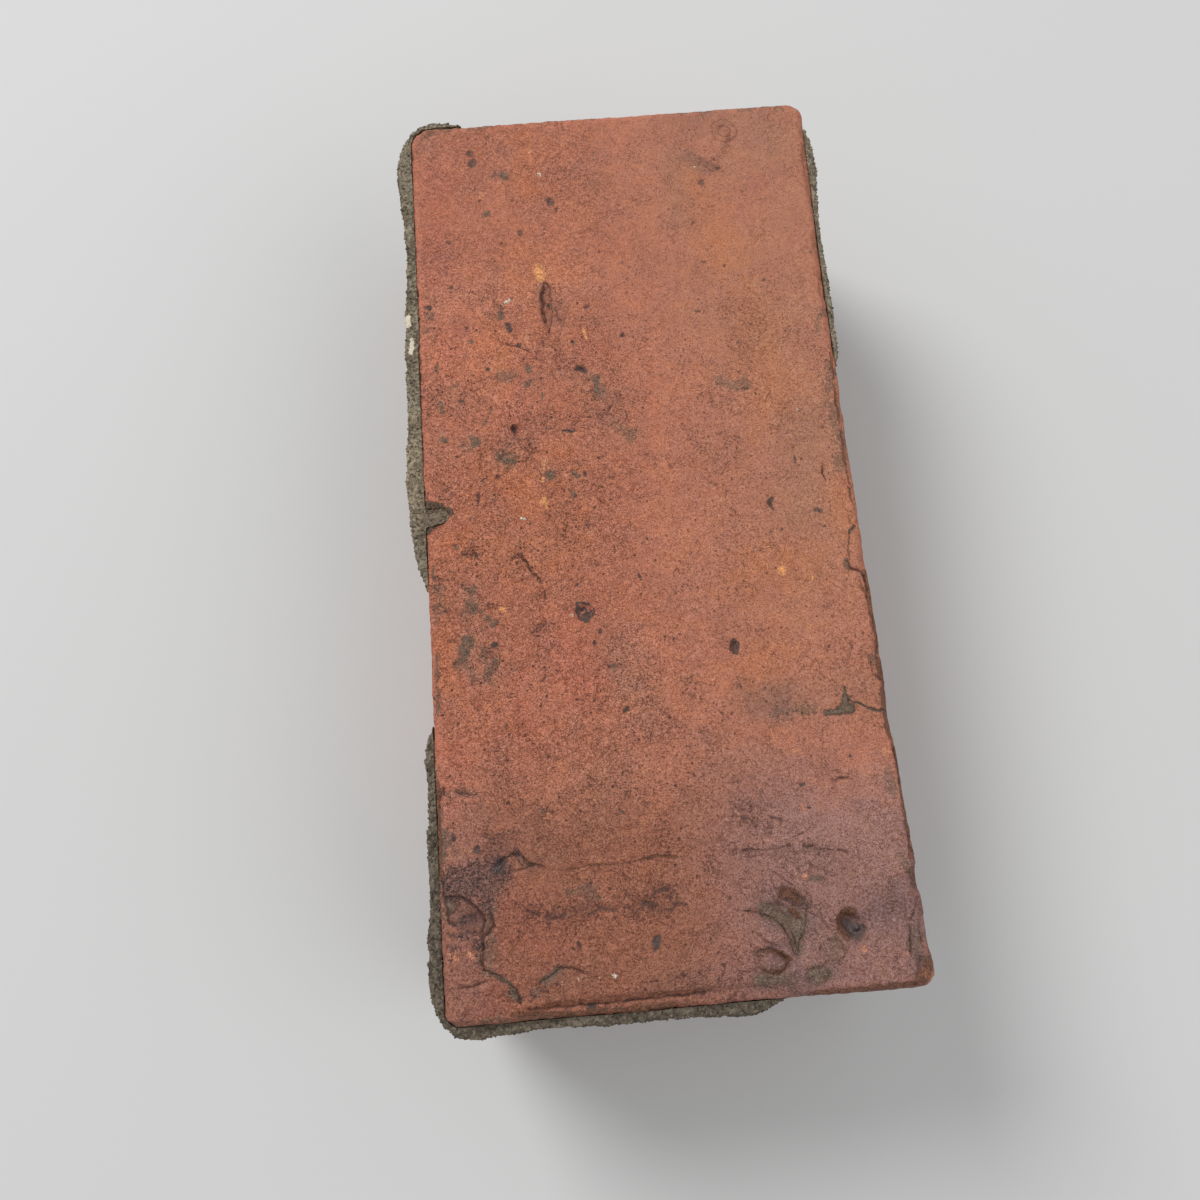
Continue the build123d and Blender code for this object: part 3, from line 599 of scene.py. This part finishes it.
class Tree:
    """Adds nodes to a shader or geometry tree."""

    def __init__(self, tree):
        self.tree = tree

    def add(self, kind, settings=None, inputs=None, output=0):
        node = self.tree.nodes.new(kind)
        for name, value in (settings or {}).items():
            setattr(node, name, value)
        for name, value in (inputs or {}).items():
            socket = node.inputs[name]
            if isinstance(value, Wire):
                self.tree.links.new(value.socket, socket)
            else:
                socket.default_value = value
        return Wire(self, node.outputs[output])

    def blend(self, share, first, second, way="MIX"):
        """Colour that goes from the first to the second as share goes from 0 to 1."""
        settings = {"data_type": "RGBA", "blend_type": way}
        return self.add("ShaderNodeMix", settings, {0: share, 6: colour(first), 7: colour(second)}, output=2)

    def noise(self, place, size, detail=2.0, roughness=0.5, warp=0.0):
        """Noise from 0 to 1, with hills of about the size in millimetres."""
        inputs = {"Vector": place, "Scale": 1 / size, "Detail": detail, "Roughness": roughness, "Distortion": warp}
        return self.add("ShaderNodeTexNoise", {"noise_dimensions": "3D"}, inputs)

    def stretched(self, place, factors):
        return self.add("ShaderNodeVectorMath", {"operation": "MULTIPLY"}, {0: place, 1: factors})

    def cells(self, place, size, output=0):
        """Cells of about the size in millimetres: their distances, or another output."""
        return self.add("ShaderNodeTexVoronoi", {"feature": "F1"}, {"Vector": place, "Scale": 1 / size}, output)

    def pushed(self, place, size, amount):
        """The place, moved about by noise of a size, so that round cells come out uneven."""
        settings = {"noise_dimensions": "3D"}
        push = self.add("ShaderNodeTexNoise", settings, {"Vector": place, "Scale": 1 / size, "Detail": 1.0}, output=1)
        push = self.add("ShaderNodeVectorMath", {"operation": "SCALE"}, {0: push, "Scale": amount})
        return self.add("ShaderNodeVectorMath", {"operation": "ADD"}, {0: place, 1: push})

    def kept(self, name):
        """A value that the mesh keeps at its points."""
        return self.add("ShaderNodeAttribute", {"attribute_name": name}, output="Fac")


def colour(value):
    return value if isinstance(value, Wire) else (*value, 1.0)


def new_material(name):
    """A material with its tree, its place in millimetres, and its surface shader."""
    material = bpy.data.materials.new(name)
    material.use_nodes = True
    tree = Tree(material.node_tree)
    surface = material.node_tree.nodes["Principled BSDF"]
    place = tree.add("ShaderNodeTexCoord", output="Object")
    place = tree.add("ShaderNodeVectorMath", {"operation": "SCALE"}, {0: place, "Scale": 1 / MM})
    return material, tree, place, surface


def feed(tree, surface, **values):
    """Link or set the surface shader's sockets, by their names."""
    for name, value in values.items():
        socket = surface.inputs[name.replace("_", " ")]
        if isinstance(value, Wire):
            tree.tree.links.new(value.socket, socket)
        else:
            socket.default_value = value


# ---- The fired clay

RED_CLAY = (0.482, 0.172, 0.098)
ORANGE_CLAY = (0.424, 0.196, 0.117)
BROWN_CLAY = (0.41, 0.163, 0.107)
DUSKY_CLAY = (0.335, 0.125, 0.072)
MAUVE_CLAY = (0.3, 0.148, 0.12)
WORN_ARRIS = (0.53, 0.183, 0.113)
# Painted shade in the creases and rings
SEAM_SHADE = (0.06, 0.03, 0.022)


def make_fired_clay():
    """Red to orange clay, dusky towards the near end, under the marks that the mesh keeps."""
    material, tree, place, surface = new_material("fired_clay")
    wide = tree.noise(place, 40, 3, 0.55)
    broad = tree.noise(place, 10, 4, 0.6, 0.5)
    hue = tree.noise(place, 3.4, 5, 0.72)
    middle = tree.noise(place, 2.2, 3, 0.6, 0.5)
    grain = tree.noise(place, 0.75, 2, 0.75)
    fine = tree.noise(place, 0.34, 1, 0.7)
    speckle = grain * 0.4 + fine * 0.7 - 0.05
    dusk = tree.kept("dusk")
    crisp = tree.kept("crisp")
    rough = tree.kept("rough") + (broad - 0.5) * 0.8

    # Body colour: redder on the left, more orange on the right, and dusky towards the near end
    clay = tree.blend(tree.kept("orange") * 0.7 + (wide - 0.5) * 0.9, RED_CLAY, ORANGE_CLAY)
    clay = tree.blend(broad.ramp(0.36, 0.66) * 0.6, clay, BROWN_CLAY)
    dusky = tree.blend(tree.kept("mauve"), DUSKY_CLAY, MAUVE_CLAY)
    clay = tree.blend((dusk + (broad - 0.5) * 0.5 * dusk.ramp(0, 0.4)).ramp(0.0, 1.0), clay, dusky)
    for name, tint, strength in (
        ("ember", (1.04, 0.99, 0.87), 0.9),
        ("rosy", (1.0, 0.93, 0.96), 0.9),
        ("dull", (0.88, 0.96, 1.0), 0.8),
        ("bruise", (0.7, 0.79, 0.9), 0.8),
        ("pale", (1.18, 1.2, 1.19), 0.9),
    ):
        share = (tree.kept(name) + (hue - 0.5) * 0.5 * tree.kept(name).ramp(0, 0.3)).ramp(0.0, 1.0)
        clay = tree.blend(share * strength, clay, tint, "MULTIPLY")
    clay = tree.blend(hue.ramp(0.5, 0.68) * 0.4, clay, (1.1, 1.0, 0.76), "MULTIPLY")
    clay = tree.blend(hue.ramp(0.5, 0.34) * 0.4, clay, (0.92, 0.95, 1.1), "MULTIPLY")
    clay = tree.blend(middle.ramp(0.55, 0.34) * 0.32 * crisp, clay, (0.72, 0.68, 0.68), "MULTIPLY")
    clay = tree.blend(middle.ramp(0.54, 0.7) * 0.32 * crisp, clay, (1.2, 1.26, 1.28), "MULTIPLY")
    clay = tree.blend(speckle.ramp(0.53, 0.34) * crisp * 0.95, clay, (0.55, 0.42, 0.36), "MULTIPLY")
    clay = tree.blend(speckle.ramp(0.52, 0.7) * crisp * 0.95, clay, (1.34, 1.55, 1.72), "MULTIPLY")
    clay = tree.blend(tree.kept("arris") * middle.ramp(0.35, 0.6) * dusk.ramp(0.0, 1.0, 0.5, 0.15), clay, WORN_ARRIS)

    # Crinkles of the drying skin, pepper, pores, short dark scratches and hair cracks
    worm = tree.noise(place, 1.4, 2, 0.6, 0.8)
    worm = worm.maths("ABSOLUTE", worm - 0.5)
    crinkle = worm.ramp(0.034, 0.004) * rough.ramp(0.3, 1.1)
    clay = tree.blend(crinkle * 0.45 * crisp, clay, (0.45, 0.33, 0.28), "MULTIPLY")
    crowd = (broad - 0.5) * 0.5 + (wide - 0.5) * 0.3 + tree.kept("smoke_and_shade").ramp(0.0, 0.9) * 0.11
    warped = tree.pushed(place, 0.9, 0.5)
    pepper = (tree.cells(warped, 0.95) - crowd).ramp(0.25, 0.1)
    calm = 1 - tree.kept("mauve") * dusk * 0.65
    clay = tree.blend(pepper * crisp * calm * 0.6, clay, (0.085, 0.034, 0.024))
    pores = (tree.cells(warped, 2.8) - crowd * 0.3).ramp(0.14, 0.07)
    keen = crisp.ramp(0.58, 1.15)
    clay = tree.blend(pores * keen * calm * 0.8, clay, (0.05, 0.024, 0.02))
    scratch = tree.noise(tree.stretched(place, (0.5, 1.4, 1.0)), 1.3, 3, 0.75, 1.5) + crowd * 0.5
    scratch = scratch.ramp(0.66, 0.72)
    clay = tree.blend(scratch * keen * 0.6, clay, (0.09, 0.038, 0.03))
    crack = tree.noise(place, 5.5, 4, 0.6, 0.8)
    crack = crack.maths("ABSOLUTE", crack - 0.5).ramp(0.009, 0.002) * tree.noise(place, 8, 2).ramp(0.48, 0.6)
    clay = tree.blend(crack * keen * 0.75, clay, (0.1, 0.04, 0.03))

    # Painted shade: the clay darkens in creases, pits and sunken places, the more the deeper they lie
    hollow = tree.kept("hollow") + (speckle - 0.5) * 0.7
    clay = tree.blend(hollow.ramp(0.15, 0.9) * 0.72, clay, (0.07, 0.034, 0.028))
    patchy = (0.5 - middle) * 1.5 + (0.5 - speckle) * 1.5
    ragged = (middle - 0.5) * 0.5 + (speckle - 0.5) * 0.9
    torn = (middle - 0.5) * 1.5 + (speckle - 0.5) * 1.1
    # Each finish: its tints at the rim and in the heart, how much it hides, where it starts and is full, its outline
    marks = {
        "haze_and_shade": ((0.2, 0.12, 0.08), (0.128, 0.09, 0.062), 0.5, 0.3, 0.8, patchy),
        "smoke_and_shade": ((0.16, 0.06, 0.042), (0.075, 0.036, 0.028), 0.28, 0.2, 1.0, patchy),
        "umber": ((0.13, 0.05, 0.038), (0.07, 0.036, 0.03), 0.75, 0.3, 0.75, ragged),
        "ash": ((0.122, 0.077, 0.053), (0.164, 0.114, 0.079), 0.82, 0.32, 0.56, torn),
        "scorch": ((0.085, 0.048, 0.042), (0.155, 0.088, 0.076), 0.5, 0.25, 0.7, patchy),
        "blush": ((0.46, 0.175, 0.1), (0.58, 0.25, 0.135), 0.7, 0.25, 0.6, ragged),
        "rust_and_shade": ((0.09, 0.038, 0.024), (0.17, 0.068, 0.032), 0.8, 0.3, 0.6, ragged),
        "ochre": ((0.56, 0.24, 0.11), (0.76, 0.33, 0.12), 0.95, 0.3, 0.46, ragged * 0.6),
        "mortar": ((0.065, 0.046, 0.031), (0.135, 0.102, 0.068), 0.92, 0.34, 0.5, ragged),
        "cinder": ((0.1, 0.055, 0.042), (0.07, 0.056, 0.055), 0.92, 0.36, 0.54, ragged),
        "lime": ((0.42, 0.28, 0.2), (0.72, 0.62, 0.52), 1.0, 0.32, 0.48, ragged),
    }
    for name, (rim, heart, strength, start, full, outline) in marks.items():
        depth = tree.kept(name)
        depth = depth + outline * depth.ramp(0.0, 0.25)
        sharpness = crisp.ramp(0.7, 1.15, 0.72, 1.0) if name == "cinder" else 1
        tint = tree.blend(depth.ramp(start + 0.1, 0.95), rim, heart)
        tint = tree.blend(speckle.ramp(0.54, 0.36), tint, (0.55, 0.52, 0.52), "MULTIPLY")
        tint = tree.blend(speckle.ramp(0.52, 0.66), tint, (1.5, 1.5, 1.5), "MULTIPLY")
        clay = tree.blend(depth.ramp(start, full) * strength * sharpness, clay, tint)
    flakes = worm.ramp(0.045, 0.008) * tree.kept("scorch").ramp(0.1, 0.5)
    clay = tree.blend(flakes * 0.75, clay, (0.03, 0.027, 0.027))
    # Painted shade: a dark line along each crease and ring, darker where the crease is deeper
    wobble = (middle - 0.5) * 0.9 + (grain - 0.5) * 0.7
    seam = tree.kept("seam_side") + wobble
    seam = seam.maths("ABSOLUTE", seam).ramp(0.28, 0.06) * tree.kept("seam_reach").ramp(1.1, 0.6)
    seam = seam * tree.kept("seam_shade") * tree.noise(place, 2.8, 2).ramp(0.3, 0.6, 0.25, 1.0)
    clay = tree.blend(seam * 0.8, clay, SEAM_SHADE)

    height = speckle * 0.9 + middle * 0.5 - crinkle * 0.7 - pepper * 0.5 - pores * 1.5 - scratch * 0.6 - crack - flakes
    height = height - seam * 1.5
    normal = tree.add("ShaderNodeBump", inputs={"Height": height, "Strength": 0.8, "Distance": 0.2 * MM})
    roughness = 0.76 - dusk * 0.2 + (speckle - 0.5) * 0.3
    surface.inputs["Specular IOR Level"].default_value = 0.3
    feed(tree, surface, Base_Color=clay, Roughness=roughness, Normal=normal)
    return material


def bed_distances(points):
    """How far inside the left, right, near and far sides of the upper bed each point lies."""
    x, y = points[:, 0], points[:, 1]
    along = (y - NEAR_END) / LENGTH
    left = x + HALF_WIDTH - LEAN * along
    right = HALF_WIDTH - LEAN * along - 4 * HOLLOW_DEPTH * along * (1 - along) - x
    return left, right, y - NEAR_END, FAR_END + FAR_SLOPE * x - y


def shape_bed(points, normals):
    """Raise and lower the points of the upper bed into its creases, pits, lumps and worn arrises."""
    total = np.zeros(len(points))
    bed = np.nonzero((normals[:, 2] > 0.5) & (points[:, 2] > HEIGHT - 4))[0]
    points, up = points[bed], smooth_step(0.5, 0.9, normals[bed, 2])
    places = shifted(points[:, :2], 0.3)
    lift = np.zeros(len(points))
    for half_width, depth, lip, *path in CREASES:
        path, near = close_to(places, path, 5)
        distance, side = to_path(places[near], path)
        groove = depth * np.exp(-((distance / half_width) ** 2))
        lift[near] += lip * (side > 0) * np.exp(-distance / 1.6) - groove
    for middle, radius in RINGS:
        path, near = close_to(places, [middle], radius + 2)
        distance, _ = to_path(places[near], path)
        lift[near] -= 0.2 * np.exp(-(((distance - radius) / 0.3) ** 2))
    for middle, radius, height in SWELLS:
        path, near = close_to(places, [middle], radius * 1.5)
        distance, _ = to_path(places[near], path)
        lift[near] += height * smooth_step(radius * 1.3, 0, distance)
    rough = ripple(points, 0.9, 71)
    places = shifted(points[:, :2], 0.5)
    for marks, height, roughness, start, full in (
        (CINDERS + STONE_OUTLINE, -0.22, -0.2, 0.4, 0.75),
        (MORTAR_FILMS, 0.14, 0.16, 0.4, 0.6),
        (ASH, 0.05, 0.1, 0.3, 0.6),
        (LIME, 0.2, 0, 0.4, 0.8),
        (UMBER, -0.18, -0.25, 0.3, 0.7),
        (SCORCH, -0.12, -0.3, 0.1, 0.6),
    ):
        lift += (height + roughness * rough) * smooth_step(start, full, in_marks(places, marks))
    total[bed] = lift * up
    return total


def crinkled_skin(points):
    """How crinkled the clay's skin is: most on the left of the bed, least on the right."""
    share = 0.35 + 0.6 * smooth_step(12, -16, points[:, 0]) + 0.45 * layered_ripple(points, 15, 61, 2)
    return np.clip(share, 0, 1.2)


def make_fired_brick():
    """The CAD node's brick with the relief of its skin, its worn arrises and the marks of its upper bed."""
    piece = remeshed_copy("brick", "fired_brick", CLAY_FACE)
    divide_faces(piece.data, lambda middle: middle.z > (HEIGHT - 2) * MM)
    mesh = piece.data
    points = read_points(mesh)
    normals = read_normals(mesh)

    # Nothing on an old brick is quite straight: shift its outlines, then roughen its skin
    plain = points.copy()
    for axis in (0, 1):
        points[:, axis] += ripple(plain, 9, 11 + axis) * 0.22 + ripple(plain, 2.2, 21 + axis) * 0.14
    crinkled = crinkled_skin(plain)
    skin = ripple(plain, 34, 1) * 0.22 + ripple(plain, 9, 2) * 0.1 + layered_ripple(plain, 2.6, 3, 2) * 0.06
    skin -= 0.13 * smooth_step(0.16, 0.02, np.abs(ripple(plain, 1.9, 6))) * crinkled
    pores = scattered_hollows(plain, 2.4, (0.25, 0.75), 0.4, 5)
    lift = skin - 0.3 * smooth_step(0.1, 0.9, pores)

    # Small bites along the arrises
    edges = np.sort(np.abs(normals), axis=1)
    sharp = smooth_step(0.2, 0.6, edges[:, 1])
    bites = ripple(plain, 5.5, 31) + 0.6 * ripple(plain, 2.1, 32)
    lift -= sharp * (0.12 + 0.6 * smooth_step(0.1, 0.9, bites) + 0.14 * ripple(plain, 1.1, 33))
    points += normals * lift[:, None]

    bed_lift = shape_bed(plain, normals)
    points[:, 2] += bed_lift
    write_points(mesh, points)

    on_bed = smooth_step(HEIGHT - 4, HEIGHT - 1, plain[:, 2])
    bed = np.nonzero(on_bed > 0.5)[0]
    marked = np.zeros(len(plain))
    for marks in (CINDERS, LIME, OCHRE, MORTAR_FILMS):
        marked[bed] = np.maximum(marked[bed], in_marks(plain[bed, :2], marks))
    creased = smooth_step(0.02, 0.15, np.abs(bed_lift))
    thin_out(piece, CLAY_TRIANGLES, on_bed * (0.55 + 0.45 * np.maximum(creased, marked > 0.2)))

    mesh = piece.data
    points = read_points(mesh)
    normals = read_normals(mesh)
    bed = np.nonzero(points[:, 2] > HEIGHT - MARK_REACH)[0]
    close_places = shifted(points[bed, :2], 0.6)
    loose_places = shifted(points[bed, :2], 1.5, 4.0)
    for name, places, marks in (
        ("cinder", close_places, CINDERS + STONE_OUTLINE),
        ("ash", close_places, ASH),
        ("mortar", close_places, MORTAR_FILMS),
        ("umber", close_places, UMBER),
        ("ochre", close_places, OCHRE),
        ("blush", close_places, BLUSH),
        ("lime", close_places, LIME),
        ("rust_and_shade", close_places, RUST_AND_SHADE),
        ("haze_and_shade", loose_places, HAZE_AND_SHADE),
        ("smoke_and_shade", loose_places, SMOKE_AND_SHADE),
        ("scorch", loose_places, SCORCH),
        ("ember", loose_places, EMBER),
        ("rosy", loose_places, ROSY),
        ("dull", loose_places, DULL),
        ("bruise", loose_places, BRUISE),
        ("pale", loose_places, PALE),
    ):
        values = np.full(len(points), -1.0)
        values[bed] = in_marks(places, marks)
        keep_value(mesh, name, values)
    # Where the creases and rings run, and how dark the shade painted along them is
    seams = np.array([[3.0], [3.0], [0.0]]) * np.ones(len(points))
    seams[:, bed] = to_seams(shifted(points[bed, :2], 0.3))
    for name, values in zip(("seam_side", "seam_reach", "seam_shade"), seams):
        keep_value(mesh, name, values)
    inland = np.min(bed_distances(points), axis=0)
    on_top = points[:, 2] > HEIGHT - MARK_REACH
    # Painted shade for the clay: how deep each point lies in a crease, a pit or a sunken place below the bed
    sunken = np.clip(HEIGHT - 0.3 - points[:, 2], 0, None) * smooth_step(2.0, 4.0, inland) * on_top
    dip = np.clip(-shape_bed(points, normals) - 0.08, 0, None)
    keep_value(mesh, "hollow", np.clip(np.maximum(dip / 0.45, sunken / 3.2), 0, 1))
    keep_value(mesh, "arris", smooth_step(2.8, 0.9, np.abs(inland)) * on_top)
    keep_value(mesh, "rough", crinkled_skin(points))
    x, y = points[:, 0], points[:, 1]
    on_left, near_end = smooth_step(14, -16, x), smooth_step(-58, -78, y)
    crisp = (0.92 + 0.28 * on_left) * (1 - 0.33 * smooth_step(35, 75, y)) + near_end * (0.2 - 0.38 * on_left)
    keep_value(mesh, "crisp", crisp)
    keep_value(mesh, "orange", smooth_step(-15, 45, x) * smooth_step(-110, 0, y))
    keep_value(mesh, "dusk", smooth_step(-42, -88, y + 3 * ripple(points * (1, 1, 0), 25, 77)))
    keep_value(mesh, "mauve", np.maximum(smooth_step(-8, 26, x), 0.4 * smooth_step(-36, -48, x)))

    mesh.materials.append(make_fired_clay())
    mesh.shade_smooth()
    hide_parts("brick")
    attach(piece, "root")


# ---- The old mortar

DARK_MORTAR = (0.135, 0.106, 0.068)
PALE_MORTAR = (0.25, 0.205, 0.138)


def make_old_mortar():
    """Grey-brown paste with dark and pale sand in it, darker towards the near end."""
    material, tree, place, surface = new_material("old_mortar")
    broad = tree.noise(place, 7, 3, 0.6)
    lumps = tree.noise(place, 1.6, 3, 0.65)
    grain = tree.noise(place, 0.7, 2, 0.7)
    sand = tree.cells(place, 0.8, output=1)
    sand = tree.add("ShaderNodeSeparateColor", inputs={"Color": sand})
    shade = tree.kept("grain_shade")
    along = tree.add("ShaderNodeSeparateXYZ", inputs={"Vector": place}, output=1)
    paste = tree.blend(broad.ramp(0.32, 0.66), DARK_MORTAR, PALE_MORTAR)
    paste = tree.blend(sand.ramp(0.45, 0.95) * 0.6, paste, (0.36, 0.3, 0.21))
    paste = tree.blend(lumps.ramp(0.5, 0.3) * 0.7, paste, (0.055, 0.042, 0.028))
    paste = tree.blend(grain.ramp(0.52, 0.36) * 0.65, paste, (0.06, 0.045, 0.031))
    paste = tree.blend(grain.ramp(0.58, 0.72) * 0.6, paste, (0.4, 0.33, 0.235))
    paste = tree.blend(shade.ramp(0.55, 1.0) * 0.6, paste, (0.44, 0.37, 0.27))
    paste = tree.blend(shade.ramp(0.0, 0.05) * shade.ramp(0.45, 0.1) * 0.7, paste, (0.07, 0.052, 0.036))
    paste = tree.blend(along.ramp(-20, -90), paste, (0.62, 0.6, 0.62), "MULTIPLY")
    paste = tree.blend(along.ramp(-2, 8) * along.ramp(34, 26) * 0.8, paste, (1.3, 1.26, 1.22), "MULTIPLY")
    paste = tree.blend((tree.kept("lime") + (lumps - 0.5) * 1.5).ramp(0.4, 0.6), paste, (0.68, 0.6, 0.46))
    dust = (tree.kept("clay_dust") + (lumps - 0.5) * 0.8).ramp(0.1, 0.7)
    paste = tree.blend(dust * 0.6, paste, (0.16, 0.108, 0.075))
    height = grain + lumps * 1.5
    normal = tree.add("ShaderNodeBump", inputs={"Height": height, "Strength": 0.9, "Distance": 0.3 * MM})
    feed(tree, surface, Base_Color=paste, Roughness=0.92, Normal=normal)
    return material


def make_sand_grains():
    """A tree that sets sand grains into a crust: its inputs are their number, size and seed."""
    tree = bpy.data.node_groups.new("sand_grains", "GeometryNodeTree")
    face = tree.interface
    face.new_socket("Crust", in_out="INPUT", socket_type="NodeSocketGeometry")
    for name, kind, start in (
        ("Grains per square millimetre", "NodeSocketFloat", 0.8),
        ("Grain radius", "NodeSocketFloat", 0.3),
        ("Seed", "NodeSocketInt", 1),
        ("Finish", "NodeSocketMaterial", None),
    ):
        socket = face.new_socket(name, in_out="INPUT", socket_type=kind)
        if start is not None:
            socket.default_value = start
    face.new_socket("Grains", in_out="OUTPUT", socket_type="NodeSocketGeometry")
    nodes = Tree(tree)
    entry = tree.nodes.new("NodeGroupInput")
    crust, number, radius, seed, finish = (Wire(nodes, entry.outputs[index]) for index in range(5))
    density = number * 1e6 * nodes.add("GeometryNodeInputNamedAttribute", {"data_type": "FLOAT"}, {"Name": "outside"})
    spread = nodes.add(
        "GeometryNodeDistributePointsOnFaces",
        {"distribute_method": "RANDOM"},
        {"Mesh": crust, "Density": density, "Seed": seed},
    )
    pebble = nodes.add("GeometryNodeMeshIcoSphere", inputs={"Radius": radius * MM, "Subdivisions": 1})
    turn = nodes.add(
        "FunctionNodeRandomValue",
        {"data_type": "FLOAT_VECTOR"},
        {"Min": (0, 0, 0), "Max": (6.28, 6.28, 6.28), "Seed": seed},
    )
    scale = nodes.add(
        "FunctionNodeRandomValue",
        {"data_type": "FLOAT_VECTOR"},
        {"Min": (0.45, 0.45, 0.45), "Max": (1.5, 1.5, 1.2), "Seed": seed + 1},
    )
    placed = nodes.add(
        "GeometryNodeInstanceOnPoints",
        inputs={"Points": spread, "Instance": pebble, "Rotation": turn, "Scale": scale},
    )
    shade = nodes.add("FunctionNodeRandomValue", {"data_type": "FLOAT"}, {2: 0.05, 3: 1.0, "Seed": seed + 2}, output=1)
    placed = nodes.add(
        "GeometryNodeStoreNamedAttribute",
        {"data_type": "FLOAT", "domain": "INSTANCE"},
        {"Geometry": placed, "Name": "grain_shade", "Value": shade},
    )
    solid = nodes.add("GeometryNodeRealizeInstances", inputs={"Geometry": placed})
    solid = nodes.add("GeometryNodeSetMaterial", inputs={"Geometry": solid, "Material": finish})
    leave = tree.nodes.new("NodeGroupOutput")
    tree.links.new(solid.socket, leave.inputs[0])
    return tree


def make_mortar_crust(node, name, seed, finish, grains, outside, thinning=0):
    """A crust of mortar, rough where `outside` finds that it doesn't touch the brick, and its sand."""
    piece = remeshed_copy(node, name, MORTAR_FACE)
    mesh = piece.data
    points = read_points(mesh)
    normals = read_normals(mesh)
    free = outside(points, normals)
    lift = layered_ripple(points, 6, seed, 3, 0.6) * 0.55 + ripple(points, 0.9, seed + 9) * 0.16
    lift += ripple(points, 17, seed + 3) * 0.4
    points += normals * (lift * free - 0.15 * free)[:, None]
    beyond = -bed_distances(points)[1]
    points[:, 0] -= thinning * np.clip(beyond, 0, None) * (points[:, 0] > 0)
    write_points(mesh, points)
    keep_value(mesh, "outside", free)
    for label, marks in (("lime", CRUST_LIME), ("clay_dust", CRUST_DUST)):
        keep_value(mesh, label, np.maximum(in_marks(points[:, :2], marks), 0) * (points[:, 2] > CRUST_TOP))
    mesh.materials.append(finish)
    mesh.shade_smooth()

    sand = new_piece(name + "_sand", mesh.copy())
    spread = sand.modifiers.new("grains", "NODES")
    spread.node_group = grains
    inputs = {
        socket.name: socket.identifier for socket in grains.interface.items_tree if socket.in_out == "INPUT"
    }
    spread[inputs["Grains per square millimetre"]] = GRAIN_NUMBER
    spread[inputs["Grain radius"]] = GRAIN_RADIUS
    spread[inputs["Seed"]] = seed
    spread[inputs["Finish"]] = finish
    settle(sand)
    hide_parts(node)
    for part in (piece, sand):
        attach(part, "root")


def make_old_crusts():
    finish = make_old_mortar()
    grains = make_sand_grains()

    def off_left(points, normals):
        return smooth_step(0.75, 0.2, normals[:, 0])

    def off_corner(points, normals):
        inward = np.where(points[:, 0] < -54.3, normals[:, 0], np.maximum(normals[:, 0] * 0.5, normals[:, 1]))
        return smooth_step(0.75, 0.2, inward)

    def off_right(points, normals):
        return smooth_step(-0.75, -0.2, normals[:, 0])

    make_mortar_crust("mortar_left_far", "left_far_crust", 41, finish, grains, off_left)
    make_mortar_crust("mortar_near_corner", "near_corner_crust", 51, finish, grains, off_corner)
    make_mortar_crust("mortar_right_far", "right_far_crust", 61, finish, grains, off_right, RIGHT_CRUST_THINNING)


# ---- Camera, light and floor


def set_camera():
    """Stand over the near part of the upper bed and lean a little towards its far end."""
    camera = bpy.data.objects.new("viewer", bpy.data.cameras.new("viewer"))
    camera.data.sensor_width = 36
    camera.data.lens = 33.3
    right = (0.99645, -0.08178, 0.01981)
    up = (0.07396, 0.96349, 0.25733)
    back = (-0.04013, -0.25495, 0.96612)
    stand = (-0.02345, -0.08846, 0.32075)
    camera.matrix_world = Matrix([(*row, place) for row, place in zip(zip(right, up, back), stand)] + [(0, 0, 0, 1)])
    bpy.context.scene.collection.objects.link(camera)
    bpy.context.scene.camera = camera


def hang_softbox(name, place, size, power, aim=(0, 0, 0.05)):
    """A round soft lamp that looks at the brick."""
    lamp = bpy.data.objects.new(name, bpy.data.lights.new(name, "AREA"))
    lamp.data.shape = "DISK"
    lamp.data.size = size
    lamp.data.energy = power
    lamp.location = place
    lamp.rotation_euler = (Vector(place) - Vector(aim)).to_track_quat("Z", "Y").to_euler()
    bpy.context.scene.collection.objects.link(lamp)


def make_studio():
    """A pale even world, two soft lamps and a pale floor."""
    world = bpy.data.worlds.new("studio")
    bpy.context.scene.world = world
    bpy.context.scene.view_settings.view_transform = "Standard"
    world.use_nodes = True
    background = world.node_tree.nodes["Background"]
    background.inputs["Color"].default_value = (0.97, 0.985, 1.0, 1.0)
    background.inputs["Strength"].default_value = 0.5
    hang_softbox("key_softbox", (-1.08, 1.215, 1.485), 1.08, 31.4)
    hang_softbox("fill_softbox", (0.9, -0.5, 1.1), 1.2, 4)
    bpy.ops.mesh.primitive_plane_add(size=6)
    floor = bpy.context.object
    floor.name = "floor"
    material, tree, _, surface = new_material("pale_floor")
    feed(tree, surface, Base_Color=(0.64, 0.64, 0.632, 1.0), Roughness=0.9, Specular_IOR_Level=0.15)
    floor.data.materials.append(material)


set_camera()
make_fired_brick()
make_old_crusts()
make_studio()
bpy.context.view_layer.update()
